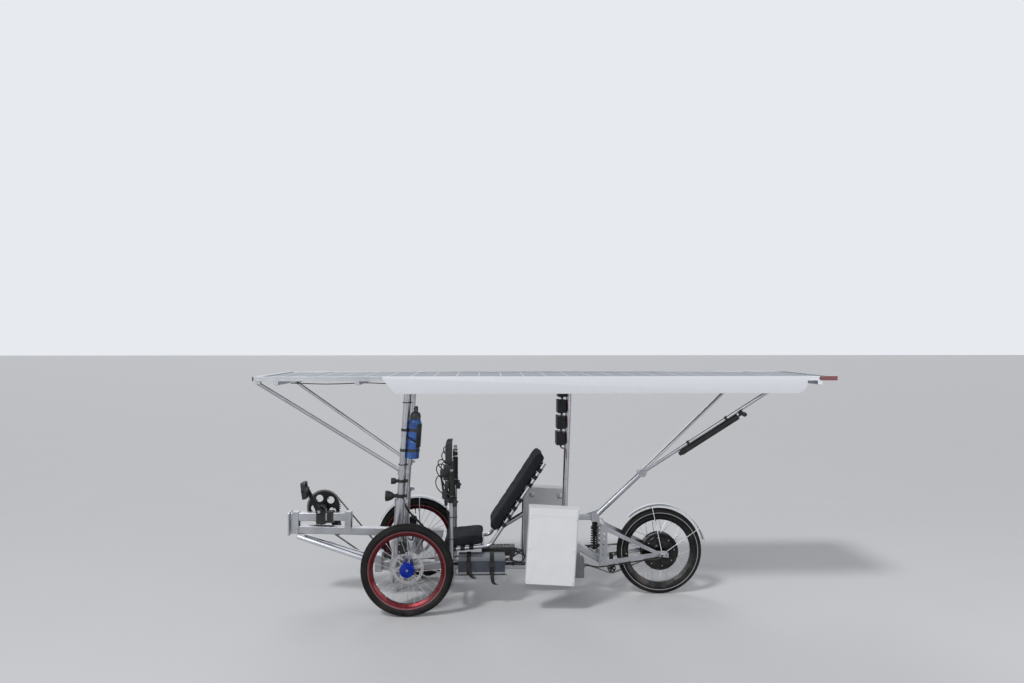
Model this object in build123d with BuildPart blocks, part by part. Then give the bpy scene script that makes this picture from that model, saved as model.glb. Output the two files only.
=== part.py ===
from build123d import *
import math
import os

os.makedirs("parts", exist_ok=True)

# Driving dimensions in mm. +X points to the rear, +Y to the rider's right and +Z up.
# The origin lies on the ground, below the middle of the roof.
gap = 0.3  # between pieces that only rest on each other
seat_fit = 0.1  # between a clamp and the tube in it
running = 0.05  # radial play of a shaft in its bore
tube_corner = 5.0  # outside corner of the box tubes
ear_long = 14.0  # ears of a pinch clamp, out from its ring
ear_half = 8.0
ear_slit = 1.2

# Wheels and axles
tyre_radius = 253.0
tyre_half = 24.0
tyre_crown = 8.0
tyre_shoulder = 12.0
tyre_wall = 28.0
tyre_flank = 21.0
tyre_sides = 60
bead_half = 15.0
rim_radius = 207.0
rim_flange = 6.0
rim_half = 17.0
rim_well = 8.0
rim_depth = 22.0
axle_z = tyre_radius
front_axle_x = -767.0
wheelbase = 1455.0
rear_axle_x = front_axle_x + wheelbase
half_track = 350.0
spoke_count = 28
spoke_side = 2.4
spoke_cross = 2  # rim holes between a spoke's root and its tip
stub_radius = 7.5
hub_barrel = 16.0
hub_radius = 39.5
hub_outer = 24.5
flange_thick = 3.5
flange_places = (-20.25, 18.25)  # middles of the two spoke flanges, outwards from the wheel's middle
rotor_radius = 88.0
rotor_track = 17.0
rotor_boss = 30.0
rotor_place = 37.0
rotor_thick = 2.0
rotor_arms = 6
rotor_holes = 12
motor_radius = 109.0
motor_half = 40.0
motor_rim_half = 28.0
motor_rim_deep = 16.0
rear_axle_radius = 6.0

# Solar roof
roof_length = 3190.0
roof_half = 372.0
roof_top = 1304.0
rail_tall = 24.0
rail_wide = 30.0
rail_groove = 8.0
groove_deep = 5.0
cap_thick = 6.0
beam_tall = 22.0
beam_wide = 25.0
front_beam_in = 125.0  # beams, measured in from the roof's ends
second_beam_in = 560.0
strut_beam_in = 333.0
rear_beam_in = 95.0
middle_beams = (-300.0, 650.0)
module_count = 3
module_tall = 20.0
module_rim = 14.0
laminate = 5.0
junction_box = (110.0, 80.0, 12.0)
band_thick = 3.0
band_front_in = 696.0
band_rear_in = 166.0
band_tall = 94.0
band_chamfer_x = 70.0
band_chamfer_z = 82.0
band_round = 60.0
marker_length = 96.0

# Masts and struts
mast_y = 190.0
mast_radius = 18.0
sleeve_radius = 27.0
sleeve_length = 466.0
collar_thick = 4.0
mast_base_x = -853.0
mast_lean = 0.0663  # run to the rear for each unit of height
head_plate = 26.0
strut_radius = 10.0
strut_mast_z = 760.0
strut_foot_half = 14.0
strut_front_in = 20.0  # front struts' tops, in from the roof's front end
strut_side_in = 27.0
rear_mast_radius = 17.0
rear_mast_x = 116.0
rear_mast_lean = 0.035
controller_count = 4
controller_pitch = 94.0
controller_size = (48.0, 110.0, 76.0)
controller_drop = 13.0
fin_pitch = 12.0
fin_slot = 7.0
fin_deep = 10.0
gland_radius = 6.0
gland_length = 10.0
cable_radius = 3.0

# Lower frame
keel_wide = 50.0
keel_tall = 50.0
keel_drop = 96.0  # the keel's underside, below the axles
keel_bottom = axle_z - keel_drop
keel_top = keel_bottom + keel_tall
keel_front = -965.0
keel_rear = 240.0
nose_length = 40.0
nose_half = 54.0
nose_bottom = keel_bottom - 4.0
nose_top = keel_top + 52.0
beam_x = -795.0
crossbeam_side = 50.0
kingpin_y = 262.0
kingpin_radius = 10.0
head_radius = 20.0
head_half = 61.0
head_bottom = axle_z - head_half
head_top = axle_z + head_half
mast_foot_z = keel_bottom - 20.0
sleeve_top_z = mast_foot_z + sleeve_length

# Boom, crank rail and crank
boom_side = 45.0
boom_front = (-1441.0, 397.0)
boom_rear = (-591.0, 368.0)
boom_post = 40.0
rail_front = -1479.0
rail_rear = -1125.0
rail_rise = 49.0  # rail's underside above the boom's middle at its nose
rail_height = 48.0
rail_bottom = boom_front[1] + rail_rise
rail_top = rail_bottom + rail_height
bracket_long = 36.0
bracket_thick = 5.0
plate_thick = 8.0
plate_half = 46.0
plate_tall = 134.0
plate_z = boom_front[1] + 36.0
plate_bolt_y = 36.0
plate_bolt_z = 53.0
plate_bolt_radius = 3.3
crank_x = -1300.0
shell_radius = 19.0
shell_half = 34.0
crank_z = rail_top + shell_radius
crank_length = 152.0
crank_angle = 117.0  # of the left arm, up from the rear
crank_eye = 18.0
pedal_eye = 13.0
spindle_radius = 8.5
ring_teeth = 48
chain_pitch = 12.7
ring_pitch_radius = chain_pitch * ring_teeth / (2 * math.pi)
ring_hole_radius = 21.0
ring_hole_place = 56.0
ring_hole_turn = 27.0
spider_radius = 20.0
chain_y = 60.0
chain_half = 3.3
chain_inside = 4.2
chain_outside = 4.8
groove_half = 1.4
groove_top = 3.6
tooth_half = 0.9
tooth_tip = 2.8
tooth_root = 5.0
crank_inner = 74.0
crank_thick = 12.0
pedal_long = 94.0
pedal_wide = 88.0
pedal_thick = 20.0
pedal_barrel = 10.0
pedal_axle = 5.0
pedal_place = 50.0
brace_radius = 17.0
brace_front_y = 12.0
brace_rear_y = 37.0

# Seat, battery and boxes
seat_half = 160.0
pad_thick = 55.0
pad_corner = 30.0
pan_front = Vector(-585, 0, 340)
pan_rear = Vector(-348, 0, 360)
back_low = Vector(-306, 0, 409)
back_high = Vector(-12, 0, 850)
frame_tube = 11.0
cross_tube = 9.5
seat_bend = 45.0
seat_post_x = -115.0
battery_x = (-495.0, -231.0)
battery_y = (-200.0, -78.0)
battery_tall = 103.0
tray_tube = 25.0
tray_top = keel_bottom + 17.0
strap_places = (-436.0, -305.0)
strap_half = 11.0
strap_thick = 1.5
power_x = (-364.0, -169.0)
power_y = (-50.0, 42.0)
power_lift = 34.0
power_tall = 49.0
socket_x = (168.0, 234.0)
socket_tall = 118.0
socket_thick = 48.0
box_length = 275.0
box_tall = 418.0
box_thick = 94.0
box_outer = 350.0
box_tilt = 3.5
box_middle = (25.0, 370.5)
box_corner = 12.0
lid_tall = 42.0
lid_lip = 1.5

# Steering
bar_x = -530.0
bar_y = 270.0
bar_z = keel_bottom - 27.0
bar_top = 842.0
bar_radius = 11.0
bar_bend = 50.0
pivot_radius = 6.0
arm_x = -65.0  # pin of each steering arm, from its own pivot
arm_y = 28.0
rod_z = bar_z - 10.0
rod_radius = 4.0
rod_eye = 9.0
rod_pin = 3.0
open_play = 0.5  # radial play at the rod's open end
grip_low = 640.0
grip_length = 135.0
grip_radius = 16.5
grip_ribs = 6
lever_z = 618.0
mirror_z = 890.0

# Rear end
pivot_x = 335.0
pivot_z = keel_top - 2.0
stay_y = 76.0
stay_thick = 8.0
hitch_x = 28.0  # accessory hole in the left dropout, from the axle
hitch_z = -10.0
hitch_radius = 4.1
link_x = 305.0
link_z = 456.0
link_half = 24.0
junction_x = 585.0
junction_z = 717.0
guard_radius = 278.0
front_guard_radius = 266.0
guard_sheet = 2.2
guard_lip = 6.0


def tube(start, end, radius, mode=Mode.ADD):
    """A round bar from start to end."""
    low = Vector(*start)
    run = Vector(*end) - low
    with Locations(Plane(origin=low + run * 0.5, z_dir=run).location):
        Cylinder(radius, run.length, mode=mode)


def block(x, y, z, mode=Mode.ADD):
    """A box between pairs of limits."""
    with Locations(((x[0] + x[1]) / 2, (y[0] + y[1]) / 2, (z[0] + z[1]) / 2)):
        Box(abs(x[1] - x[0]), abs(y[1] - y[0]), abs(z[1] - z[0]), mode=mode)


def disc(x, y, z, radius, mode=Mode.ADD):
    """A cylinder along y between the two values in y."""
    tube((x, y[0], z), (x, y[1], z), radius, mode)


def pinch_ears(x, y, z, ring):
    """Two ears behind a clamp ring of the given radius, with the slit between them."""
    reach = (x + ring - 2, x + ring + ear_long)
    block(reach, (y - ear_half, y + ear_half), (z - ear_half, z + ear_half))
    slit_z = (z - ear_half - 1, z + ear_half + 1)
    block((reach[0] - 1, reach[1] + 1), (y - ear_slit, y + ear_slit), slit_z, Mode.SUBTRACT)


def box_tube(start, end, wide, tall):
    """A box tube with rounded corners; tall is across the run in its plane of constant y."""
    low = Vector(*start)
    run = Vector(*end) - low
    with BuildPart() as bar:
        with BuildSketch(Plane(origin=low, x_dir=(0, 1, 0), z_dir=run)):
            RectangleRounded(wide, tall, tube_corner)
        extrude(amount=run.length)
    return bar.part


def turned(profile, origin, direction, out=(1, 0, 0)):
    """A solid turned about direction from pairs of a place along it and a radius."""
    along = Vector(*direction).normalized()
    with BuildPart() as body:
        with BuildSketch(Plane(origin=origin, x_dir=out, z_dir=Vector(*out).cross(along))):
            with BuildLine():
                Polyline(*[(radius, place) for place, radius in profile], close=True)
            make_face()
        revolve(axis=Axis(origin, (along.X, along.Y, along.Z)))
    return body.part


def mudguard_strip(x, y, radius, half, start, sweep_angle):
    """A crowned strip round an axle; angles in degrees, up from the rear."""
    ray = Vector(1, 0, 0).rotate(Axis.Y, -start)
    crown = 0.6 * half
    outer = [(-half, radius - guard_lip), (-crown, radius), (crown, radius), (half, radius - guard_lip)]
    inner = [(place, reach - guard_sheet) for place, reach in reversed(outer)]
    with BuildPart() as strip:
        with BuildSketch(Plane(origin=(x, y, axle_z), x_dir=ray, z_dir=ray.cross(Vector(0, 1, 0)))):
            with BuildLine():
                Polyline(*[(reach, place) for place, reach in outer + inner], close=True)
            make_face()
        revolve(axis=Axis((x, y, axle_z), (0, -1, 0)), revolution_arc=sweep_angle)
    return strip.part


def tapered_side(place, way, radius, next_place, next_radius, mode=Mode.ADD):
    """A many-sided frustum of the tyre about the y axis, from place to next_place along y."""
    shrink = math.degrees(math.atan2(radius - next_radius, abs(next_place - place)))
    with BuildSketch(Plane(origin=(0, place, 0), x_dir=(1, 0, 0), z_dir=(0, way, 0))) as ring:
        RegularPolygon(radius, tyre_sides, major_radius=False, rotation=180 / tyre_sides)
    extrude(ring.sketch, amount=abs(next_place - place), taper=shrink, mode=mode)


def sprocket(teeth, y):
    """A toothed disc about the y axis, with the middle of its thickness at y."""
    pitch_radius = chain_pitch * teeth / (2 * math.pi)
    step = 2 * math.pi / teeth
    root = pitch_radius - tooth_root
    tip = pitch_radius + tooth_tip
    # share of a pitch, radius
    corners = ((-0.30, root), (-0.09, tip), (0.09, tip), (0.30, root))
    points = []
    for number in range(teeth):
        for share, radius in corners:
            turn = (number + share) * step
            points.append((radius * math.cos(turn), radius * math.sin(turn)))
    with BuildPart() as wheel:
        with BuildSketch(Plane.XZ.offset(-y)):
            with BuildLine():
                Polyline(*points, close=True)
            make_face()
        extrude(amount=tooth_half, both=True)
    return wheel.part


def mast_x(z):
    return mast_base_x + mast_lean * (z - mast_foot_z)


def rear_mast_at(z):
    return rear_mast_x + rear_mast_lean * (z - keel_top)


def boom_z(x):
    rise = (boom_rear[1] - boom_front[1]) / (boom_rear[0] - boom_front[0])
    return boom_front[1] + rise * (x - boom_front[0])


def belt_runs(pulleys, out):
    """Straight runs (start, end, heading) of a belt round pulleys (x, z, radius, side), moved out by out.

    The belt runs clockwise, and side is 1 for a pulley inside it and -1 for one outside.
    """
    runs = []
    for here, there in zip(pulleys, pulleys[1:] + pulleys[:1]):
        first = here[3] * here[2] + out
        second = there[3] * there[2] + out
        across = math.hypot(there[0] - here[0], there[1] - here[1])
        heading = math.atan2(there[1] - here[1], there[0] - here[0])
        heading -= math.asin((first - second) / across)
        left = (-math.sin(heading), math.cos(heading))
        start = (here[0] + first * left[0], here[1] + first * left[1])
        end = (there[0] + second * left[0], there[1] + second * left[1])
        runs.append((start, end, heading))
    return runs


def belt_outline(pulleys, out):
    """Lines and arcs of the belt, for the sketch that calls this."""
    runs = belt_runs(pulleys, out)
    for place, pulley in enumerate(pulleys):
        before, after = runs[place - 1], runs[place]
        side = pulley[3]
        turn = (side * (before[2] - after[2])) % (2 * math.pi)
        swing = before[2] + math.pi / 2 - side * turn / 2
        reach = side * pulley[2] + out
        middle = (pulley[0] + reach * math.cos(swing), pulley[1] + reach * math.sin(swing))
        ThreePointArc(before[1], middle, after[0])
        Line(after[0], after[1])


pieces = {}

# Keel: box tube with its nose block, battery tray, steering pivot and rear pivot
keel_half = keel_wide / 2
keel_middle = keel_bottom + keel_tall / 2
pivot_block = (keel_bottom - 6.7, keel_bottom)
hub_top = pivot_block[0] - gap
rear_post_x = (150.0, 215.0)
rear_post_top = 300.0
post_half = 20.0
tray_x = (battery_x[0] - 20, battery_x[1] + 10)
tray_z = (tray_top - tray_tube, tray_top)
rear_strut_tube = box_tube((180, 0, rear_post_top), (pivot_x, 0, pivot_z), 40, 40)
with BuildPart() as keel_frame:
    with BuildSketch(Plane.YZ.offset(keel_front)):
        with Locations((0, keel_middle)):
            RectangleRounded(keel_wide, keel_tall, tube_corner)
    extrude(amount=keel_rear - keel_front)
    with BuildSketch(Plane.YZ.offset(keel_front - nose_length / 2)):
        with Locations((0, (nose_bottom + nose_top) / 2)):
            RectangleRounded(2 * nose_half, nose_top - nose_bottom, 2 * tube_corner)
    extrude(amount=nose_length)
    block(tray_x, (battery_y[0], battery_y[0] + tray_tube), tray_z)
    for place in (tray_x[0] + 15, tray_x[1] - 15 - tray_tube):
        block((place, place + tray_tube), (battery_y[0], -keel_half + 2), tray_z)
    tube((bar_x, 0, pivot_block[0]), (bar_x, 0, pivot_block[1] + 5), 22)
    tube((bar_x, 0, bar_z - 17), (bar_x, 0, pivot_block[0] + 2), pivot_radius)
    tube((bar_x, 0, bar_z - 23), (bar_x, 0, bar_z - 13 - gap), 12)
    add(rear_strut_tube)
    block(rear_post_x, (-post_half, post_half), (keel_top - 5, rear_post_top))
    disc(pivot_x, (-stay_y + stay_thick / 2 + gap, stay_y - stay_thick / 2 - gap), pivot_z, 16)
    disc(pivot_x, (-stay_y - 10, stay_y + 10), pivot_z, 6)
    for side in (-1, 1):
        outer = stay_y + stay_thick / 2 + gap
        disc(pivot_x, (side * outer, side * (outer + 5)), pivot_z, 11)
pieces["keel_frame"] = keel_frame

# Front crossbeam with a head tube at each end and the two mast clamps
clamp_z = (keel_top - 7, keel_top + crossbeam_side + 5)
with BuildPart() as front_crossbeam:
    with BuildSketch(Plane.XZ):
        with Locations((beam_x, keel_top + crossbeam_side / 2)):
            RectangleRounded(crossbeam_side, crossbeam_side, tube_corner)
    extrude(amount=kingpin_y - 8, both=True)
    for side in (-1, 1):
        y = side * kingpin_y
        tube((front_axle_x, y, head_bottom), (front_axle_x, y, head_top), head_radius)
        for z in (head_bottom, head_top - 9):
            tube((front_axle_x, y, z), (front_axle_x, y, z + 9), head_radius + 2)
        y = side * mast_y
        tube((mast_x(clamp_z[0]), y, clamp_z[0]), (mast_x(clamp_z[1]), y, clamp_z[1]), sleeve_radius + 8)
    for side in (-1, 1):
        y = side * kingpin_y
        tube(
            (front_axle_x, y, head_bottom - 1),
            (front_axle_x, y, head_top + 1),
            kingpin_radius + running,
            Mode.SUBTRACT,
        )
        y = side * mast_y
        tube(
            (mast_x(clamp_z[0] - 60), y, clamp_z[0] - 60),
            (mast_x(clamp_z[1] + 60), y, clamp_z[1] + 60),
            sleeve_radius + seat_fit,
            Mode.SUBTRACT,
        )
pieces["front_crossbeam"] = front_crossbeam

# Boom from the nose to between the masts, with its upright and mast crosspiece
cross_z = boom_z(mast_x(boom_front[1])) - 24.0
cross_half = 18.0
boom_tube = box_tube((boom_front[0], 0, boom_front[1]), (boom_rear[0], 0, boom_rear[1]), boom_side, boom_side)
with BuildPart() as boom:
    add(boom_tube)
    post_x = (boom_rear[0] - 49, boom_rear[0] - 9)
    block(post_x, (-boom_post / 2, boom_post / 2), (keel_top, boom_z(post_x[0]) - 8))
    middle = mast_x(cross_z)
    block((middle - 20, middle + 20), (-mast_y, mast_y), (cross_z - cross_half, cross_z + cross_half))
    for side in (-1, 1):
        y = side * mast_y
        low = cross_z - cross_half - 6
        high = cross_z + cross_half + 6
        tube((mast_x(low), y, low), (mast_x(high), y, high), sleeve_radius + 7)
    for side in (-1, 1):
        y = side * mast_y
        pinch_ears(mast_x(cross_z), y, cross_z, sleeve_radius + 7)
        tube(
            (mast_x(cross_z - 160), y, cross_z - 160),
            (mast_x(cross_z + 160), y, cross_z + 160),
            sleeve_radius + seat_fit,
            Mode.SUBTRACT,
        )
pieces["boom"] = boom

# Crank rail bolted above the boom's nose, with the bottom bracket clamped on it
rail_half = boom_side / 2
bracket_low = boom_front[1] - boom_side / 2
bracket_inner = rail_half + gap
with BuildPart() as crank_rail:
    with BuildSketch(Plane.YZ.offset(rail_front)):
        with Locations((0, (rail_bottom + rail_top) / 2)):
            RectangleRounded(boom_side, rail_height, tube_corner)
    extrude(amount=rail_rear - rail_front)
    with BuildSketch(Plane.YZ.offset(rail_front - plate_thick)):
        with Locations((0, plate_z)):
            RectangleRounded(2 * plate_half, plate_tall, 8)
            with GridLocations(2 * plate_bolt_y, 2 * plate_bolt_z, 2, 2):
                Circle(plate_bolt_radius, mode=Mode.SUBTRACT)
    extrude(amount=plate_thick)
    for place in (rail_front + 12, rail_rear - 38):
        x = (place, place + bracket_long)
        for side in (-1, 1):
            y = (side * bracket_inner, side * (bracket_inner + bracket_thick))
            block(x, y, (bracket_low, rail_top + 4))
        bracket_half = bracket_inner + bracket_thick
        block(x, (-bracket_half, bracket_half), (rail_top, rail_top + bracket_thick))
    disc(crank_x, (-shell_half, shell_half), crank_z, shell_radius)
    for side in (-1, 1):
        disc(crank_x, (side * (shell_half - 6), side * shell_half), crank_z, shell_radius + 3)
    block((crank_x - 28, crank_x + 24), (-rail_half - 7, rail_half + 7), (rail_bottom - 18, crank_z + 6))
    block((crank_x + 34, crank_x + 70), (-rail_half - 6, rail_half + 6), (rail_bottom - 10, rail_top + 6))
    disc(crank_x, (-shell_half - 1, shell_half + 1), crank_z, spindle_radius + running, Mode.SUBTRACT)
pieces["crank_rail"] = crank_rail

# Two braces from under the boom's nose to the nose block
brace_pad_x = (boom_front[0] + 1, boom_front[0] + 45)
brace_pad_top = boom_z(brace_pad_x[1]) - boom_side / 2 - gap
brace_front_z = brace_pad_top - brace_radius + 1
nose_front = keel_front - nose_length / 2
with BuildPart() as boom_braces:
    for side in (-1, 1):
        front = Vector(brace_pad_x[0] + 4, side * brace_front_y, brace_front_z)
        nose = Vector(nose_front - gap, side * brace_rear_y, keel_top + 1)
        run = (nose - front).normalized()
        tube(front, nose - run * brace_radius * math.sqrt(1 - run.X**2) / run.X, brace_radius)
        pad_z = (brace_pad_top - 2 * brace_radius + 5, brace_pad_top)
        block(brace_pad_x, (0, side * (brace_front_y + 14)), pad_z)
pieces["boom_braces"] = boom_braces

# Telescoped front masts, with the collar that clamps the inner tube and a head plate
beam_bottom = roof_top - rail_tall - beam_tall
with BuildPart() as front_masts:
    for side in (-1, 1):
        y = side * mast_y
        tube((mast_x(mast_foot_z), y, mast_foot_z), (mast_x(sleeve_top_z), y, sleeve_top_z), sleeve_radius)
        inner = (mast_foot_z + 20, beam_bottom - 6)
        tube((mast_x(inner[0]), y, inner[0]), (mast_x(inner[1]), y, inner[1]), mast_radius)
        collar = (sleeve_top_z - 24, sleeve_top_z + 4)
        low, high = [(mast_x(z), y, z) for z in collar]
        tube(low, high, sleeve_radius + collar_thick)
        pinch_ears(mast_x(sleeve_top_z), y, sleeve_top_z - 10, sleeve_radius + collar_thick)
        middle = mast_x(beam_bottom)
        block(
            (middle - head_plate, middle + head_plate),
            (y - head_plate, y + head_plate),
            (beam_bottom - 9, beam_bottom),
        )
pieces["front_masts"] = front_masts

# Front struts from the masts to the roof's front corners
strut_top_y = roof_half - strut_side_in
strut_top_x = -roof_length / 2 + strut_front_in
with BuildPart() as front_struts:
    for side in (-1, 1):
        y = side * mast_y
        strut_top = (strut_top_x, side * strut_top_y, roof_top - rail_tall - 10)
        tube((mast_x(strut_mast_z), y, strut_mast_z), strut_top, strut_radius)
        low = strut_mast_z - 20
        high = strut_mast_z + 20
        tube((mast_x(low), y, low), (mast_x(high), y, high), mast_radius + 6)
        pinch_ears(mast_x(strut_mast_z), y, strut_mast_z, mast_radius + 6)
        block(
            (strut_top_x - 15, strut_top_x + 19),
            (side * strut_top_y - strut_foot_half, side * strut_top_y + strut_foot_half),
            (roof_top - rail_tall - 16, roof_top - rail_tall),
        )
        tube(
            (mast_x(low - 40), y, low - 40),
            (mast_x(high + 40), y, high + 40),
            mast_radius + seat_fit,
            Mode.SUBTRACT,
        )
pieces["front_struts"] = front_struts

# Rear mast behind the seat
with BuildPart() as rear_mast:
    foot = keel_top + 1.0
    tube((rear_mast_at(foot), 0, foot), (rear_mast_at(beam_bottom - 4), 0, beam_bottom - 4), rear_mast_radius)
    middle = rear_mast_at(beam_bottom)
    head_x = (middle - head_plate, middle + head_plate)
    block(head_x, (-head_plate, head_plate), (beam_bottom - 8, beam_bottom))
    tube((rear_mast_at(foot), 0, foot - 1), (rear_mast_at(foot), 0, foot + 7), rear_mast_radius + 8)
pieces["rear_mast"] = rear_mast

# Rear frame: top tube from the rear mast, post up to the junction of the roof's rear struts
strut_beam_x = roof_length / 2 - strut_beam_in
rear_strut_y = roof_half - strut_side_in + 5
strut_low = (junction_x, 12.0, junction_z)
strut_high = (strut_beam_x, rear_strut_y, beam_bottom - 12)
top_tube = box_tube((rear_mast_at(link_z) - 2, 0, link_z), (link_x + 22, 0, link_z), 32, 32)
with BuildPart() as rear_frame:
    add(top_tube)
    low = link_z - 20
    high = link_z + 20
    tube((rear_mast_at(low), 0, low), (rear_mast_at(high), 0, high), rear_mast_radius + 7)
    block((link_x - 22, link_x + 24), (-30, 30), (link_z - link_half, link_z + link_half))
    tube((link_x, 0, link_z), (junction_x, 0, junction_z), 16)
    disc(junction_x, (-34, 34), junction_z, 24)
    with BuildSketch(Plane.XZ):
        with BuildLine():
            Polyline(
                (link_x - 70, link_z + 12), (link_x + 30, link_z + 12), (link_x + 62, link_z + 58), close=True
            )
        make_face()
    extrude(amount=3, both=True)
    tube(
        (rear_mast_at(low - 60), 0, low - 60),
        (rear_mast_at(high + 60), 0, high + 60),
        rear_mast_radius + seat_fit,
        Mode.SUBTRACT,
    )
    for side in (-1, 1):
        tube(
            (strut_low[0], side * strut_low[1], strut_low[2]),
            (strut_high[0], side * strut_high[1], strut_high[2]),
            strut_radius + gap,
            Mode.SUBTRACT,
        )
pieces["rear_frame"] = rear_frame

# Rear struts
low_point = Vector(*strut_low)
step = (Vector(*strut_high) - low_point).normalized()
with BuildPart() as rear_struts:
    for side in (-1, 1):
        start = low_point + step * 16
        end = (strut_high[0], side * strut_high[1], strut_high[2])
        tube((start.X, side * start.Y, start.Z), end, strut_radius)
        block(
            (strut_beam_x - 15, strut_beam_x + 15),
            (side * rear_strut_y - strut_foot_half, side * rear_strut_y + strut_foot_half),
            (beam_bottom - 22, beam_bottom),
        )
pieces["rear_struts"] = rear_struts

# Roof rails round the edge, with a groove along the outside
rail_low = roof_top - rail_tall
rail_end = roof_length / 2 - cap_thick
with BuildPart() as roof_rails:
    with BuildSketch(Plane.YZ.offset(-rail_end)):
        for side in (-1, 1):
            with Locations((side * (roof_half - rail_wide / 2), roof_top - rail_tall / 2)):
                Rectangle(rail_wide, rail_tall)
            with Locations((side * roof_half, roof_top - rail_tall / 2)):
                Rectangle(2 * groove_deep, rail_groove, mode=Mode.SUBTRACT)
    extrude(amount=2 * rail_end)
    for side in (-1, 1):
        inner = roof_half - rail_wide + 1
        block((side * (rail_end - rail_wide), side * rail_end), (-inner, inner), (rail_low, roof_top))
pieces["roof_rails"] = roof_rails

# Beams across under the rails
beam_places = (
    -roof_length / 2 + front_beam_in,
    -roof_length / 2 + second_beam_in,
    mast_x(beam_bottom),
    middle_beams[0],
    rear_mast_at(beam_bottom),
    middle_beams[1],
    strut_beam_x,
    roof_length / 2 - rear_beam_in,
)
with BuildPart() as roof_beams:
    for place in beam_places:
        beam_x = (place - beam_wide / 2, place + beam_wide / 2)
        block(beam_x, (-roof_half + 2, roof_half - 2), (beam_bottom, rail_low))
pieces["roof_beams"] = roof_beams

# Solar modules: a rim with a thin laminate over it and a junction box below that
inside = 2 * (rail_end - rail_wide - gap)
module_pitch = inside / module_count
module_half = roof_half - rail_wide - gap
laminate_low = rail_low + module_tall - laminate
with BuildPart() as solar_modules:
    for number in range(module_count):
        start = -inside / 2 + number * module_pitch
        x = (start + gap, start + module_pitch - gap)
        block(x, (-module_half, module_half), (rail_low, rail_low + module_tall))
        block(
            (x[0] + module_rim, x[1] - module_rim),
            (-module_half + module_rim, module_half - module_rim),
            (rail_low - 1, laminate_low),
            Mode.SUBTRACT,
        )
        with Locations(((x[0] + x[1]) / 2, module_half / 2, laminate_low - junction_box[2] / 2 + 0.5)):
            Box(junction_box[0], junction_box[1], junction_box[2] + 1)
pieces["solar_modules"] = solar_modules

# Pale side bands on the rails
band_front = -roof_length / 2 + band_front_in
band_rear = roof_length / 2 - band_rear_in
band_bottom = roof_top - band_tall
with BuildPart() as side_bands:
    for side in (-1, 1):
        with BuildSketch(Plane.XZ.offset(-side * roof_half)) as band_face:
            with BuildLine():
                Polyline(
                    (band_front, roof_top),
                    (band_front, band_bottom + band_chamfer_z),
                    (band_front + band_chamfer_x, band_bottom),
                    (band_rear, band_bottom),
                    (band_rear, roof_top),
                    close=True,
                )
            make_face()
            rear_corner = band_face.vertices().sort_by(Axis.X)[-2:].sort_by(Axis.Z)[0]
            fillet(rear_corner, min(band_round, 0.7 * band_tall))
        extrude(amount=-side * band_thick)
pieces["side_bands"] = side_bands

# Red markers at the roof's rear and dark caps on the ends of its side rails
with BuildPart() as roof_markers:
    for side in (-1, 1):
        y = (side * roof_half, side * (roof_half + band_thick))
        block((roof_length / 2 - marker_length, roof_length / 2), y, (rail_low, roof_top))
        for end in (-1, 1):
            x = (end * rail_end, end * roof_length / 2)
            block(x, (side * (roof_half - rail_wide), side * roof_half), (rail_low, roof_top))
pieces["roof_markers"] = roof_markers

# Charge controllers stacked on the front of the rear mast
controller_top = beam_bottom - controller_drop
with BuildPart() as charge_controllers:
    for number in range(controller_count):
        middle = controller_top - controller_size[2] / 2 - number * controller_pitch
        back = rear_mast_at(middle) - rear_mast_radius - gap - 1.5
        front = back - controller_size[0]
        with Locations((back - controller_size[0] / 2, 0, middle)):
            Box(*controller_size)
        for fin in range(-4, 5):
            block(
                (front - 1, front + fin_deep),
                (fin * fin_pitch - fin_slot / 2, fin * fin_pitch + fin_slot / 2),
                (middle - controller_size[2] / 2 - 1, middle + controller_size[2] / 2 + 1),
                Mode.SUBTRACT,
            )
        for y in (-30, 30):
            low = middle - controller_size[2] / 2
            tube((back - 22, y, low - gland_length), (back - 22, y, low + 2), gland_radius)
pieces["charge_controllers"] = charge_controllers

# Seat frame: two bent side tubes with cross tubes, on two posts
pan_run = (pan_rear - pan_front).normalized()
back_run = (back_high - back_low).normalized()
behind = pad_thick / 2 + frame_tube + gap
pan_down = Vector(pan_run.Z, 0, -pan_run.X) * behind
back_down = Vector(back_run.Z, 0, -back_run.X) * behind
to_back = back_low + back_down - pan_front - pan_down
bend_reach = to_back.cross(back_run).length / pan_run.cross(back_run).length
frame_corners = [
    pan_front + pan_down,
    pan_front + pan_down + pan_run * bend_reach,
    back_high + back_down - back_run * 40,
]
crossings = [
    frame_corners[0] + pan_run * 20,
    frame_corners[1] - pan_run * 45,
    frame_corners[1] + back_run * 90,
    frame_corners[1] + back_run * ((seat_post_x - frame_corners[1].X) / back_run.X),
    frame_corners[2] - back_run * 14,
]
rail_y = seat_half - 25
with BuildPart() as seat_frame:
    for side in (-1, 1):
        with BuildLine(Plane.XZ.offset(-side * rail_y)):
            seat_line = FilletPolyline(*[(corner.X, corner.Z) for corner in frame_corners], radius=seat_bend)
        with BuildSketch(Plane(origin=seat_line @ 0, z_dir=seat_line % 0)):
            Circle(frame_tube)
        sweep()
    for point in crossings:
        tube((point.X, -rail_y, point.Z), (point.X, rail_y, point.Z), cross_tube)
    front_post = crossings[0]
    block((front_post.X - 12, front_post.X + 12), (-12, 12), (keel_top, front_post.Z))
    top_cross = crossings[3]
    tube((seat_post_x, 0, keel_top), (top_cross.X, 0, top_cross.Z), 12)
    low_cross = crossings[2]
    tube((low_cross.X + 8, 0, low_cross.Z - 5), (seat_post_x, 0, 480), 14)
pieces["seat_frame"] = seat_frame

# Seat pads
with BuildPart() as seat_pad:
    for low, high in ((pan_front, pan_rear), (back_low, back_high)):
        run = high - low
        with BuildSketch(Plane(origin=low + run * 0.5, x_dir=(0, 1, 0), z_dir=Vector(0, 1, 0).cross(run))):
            RectangleRounded(2 * seat_half, run.length, pad_corner)
        extrude(amount=pad_thick / 2, both=True)
pieces["seat_pad"] = seat_pad

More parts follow.
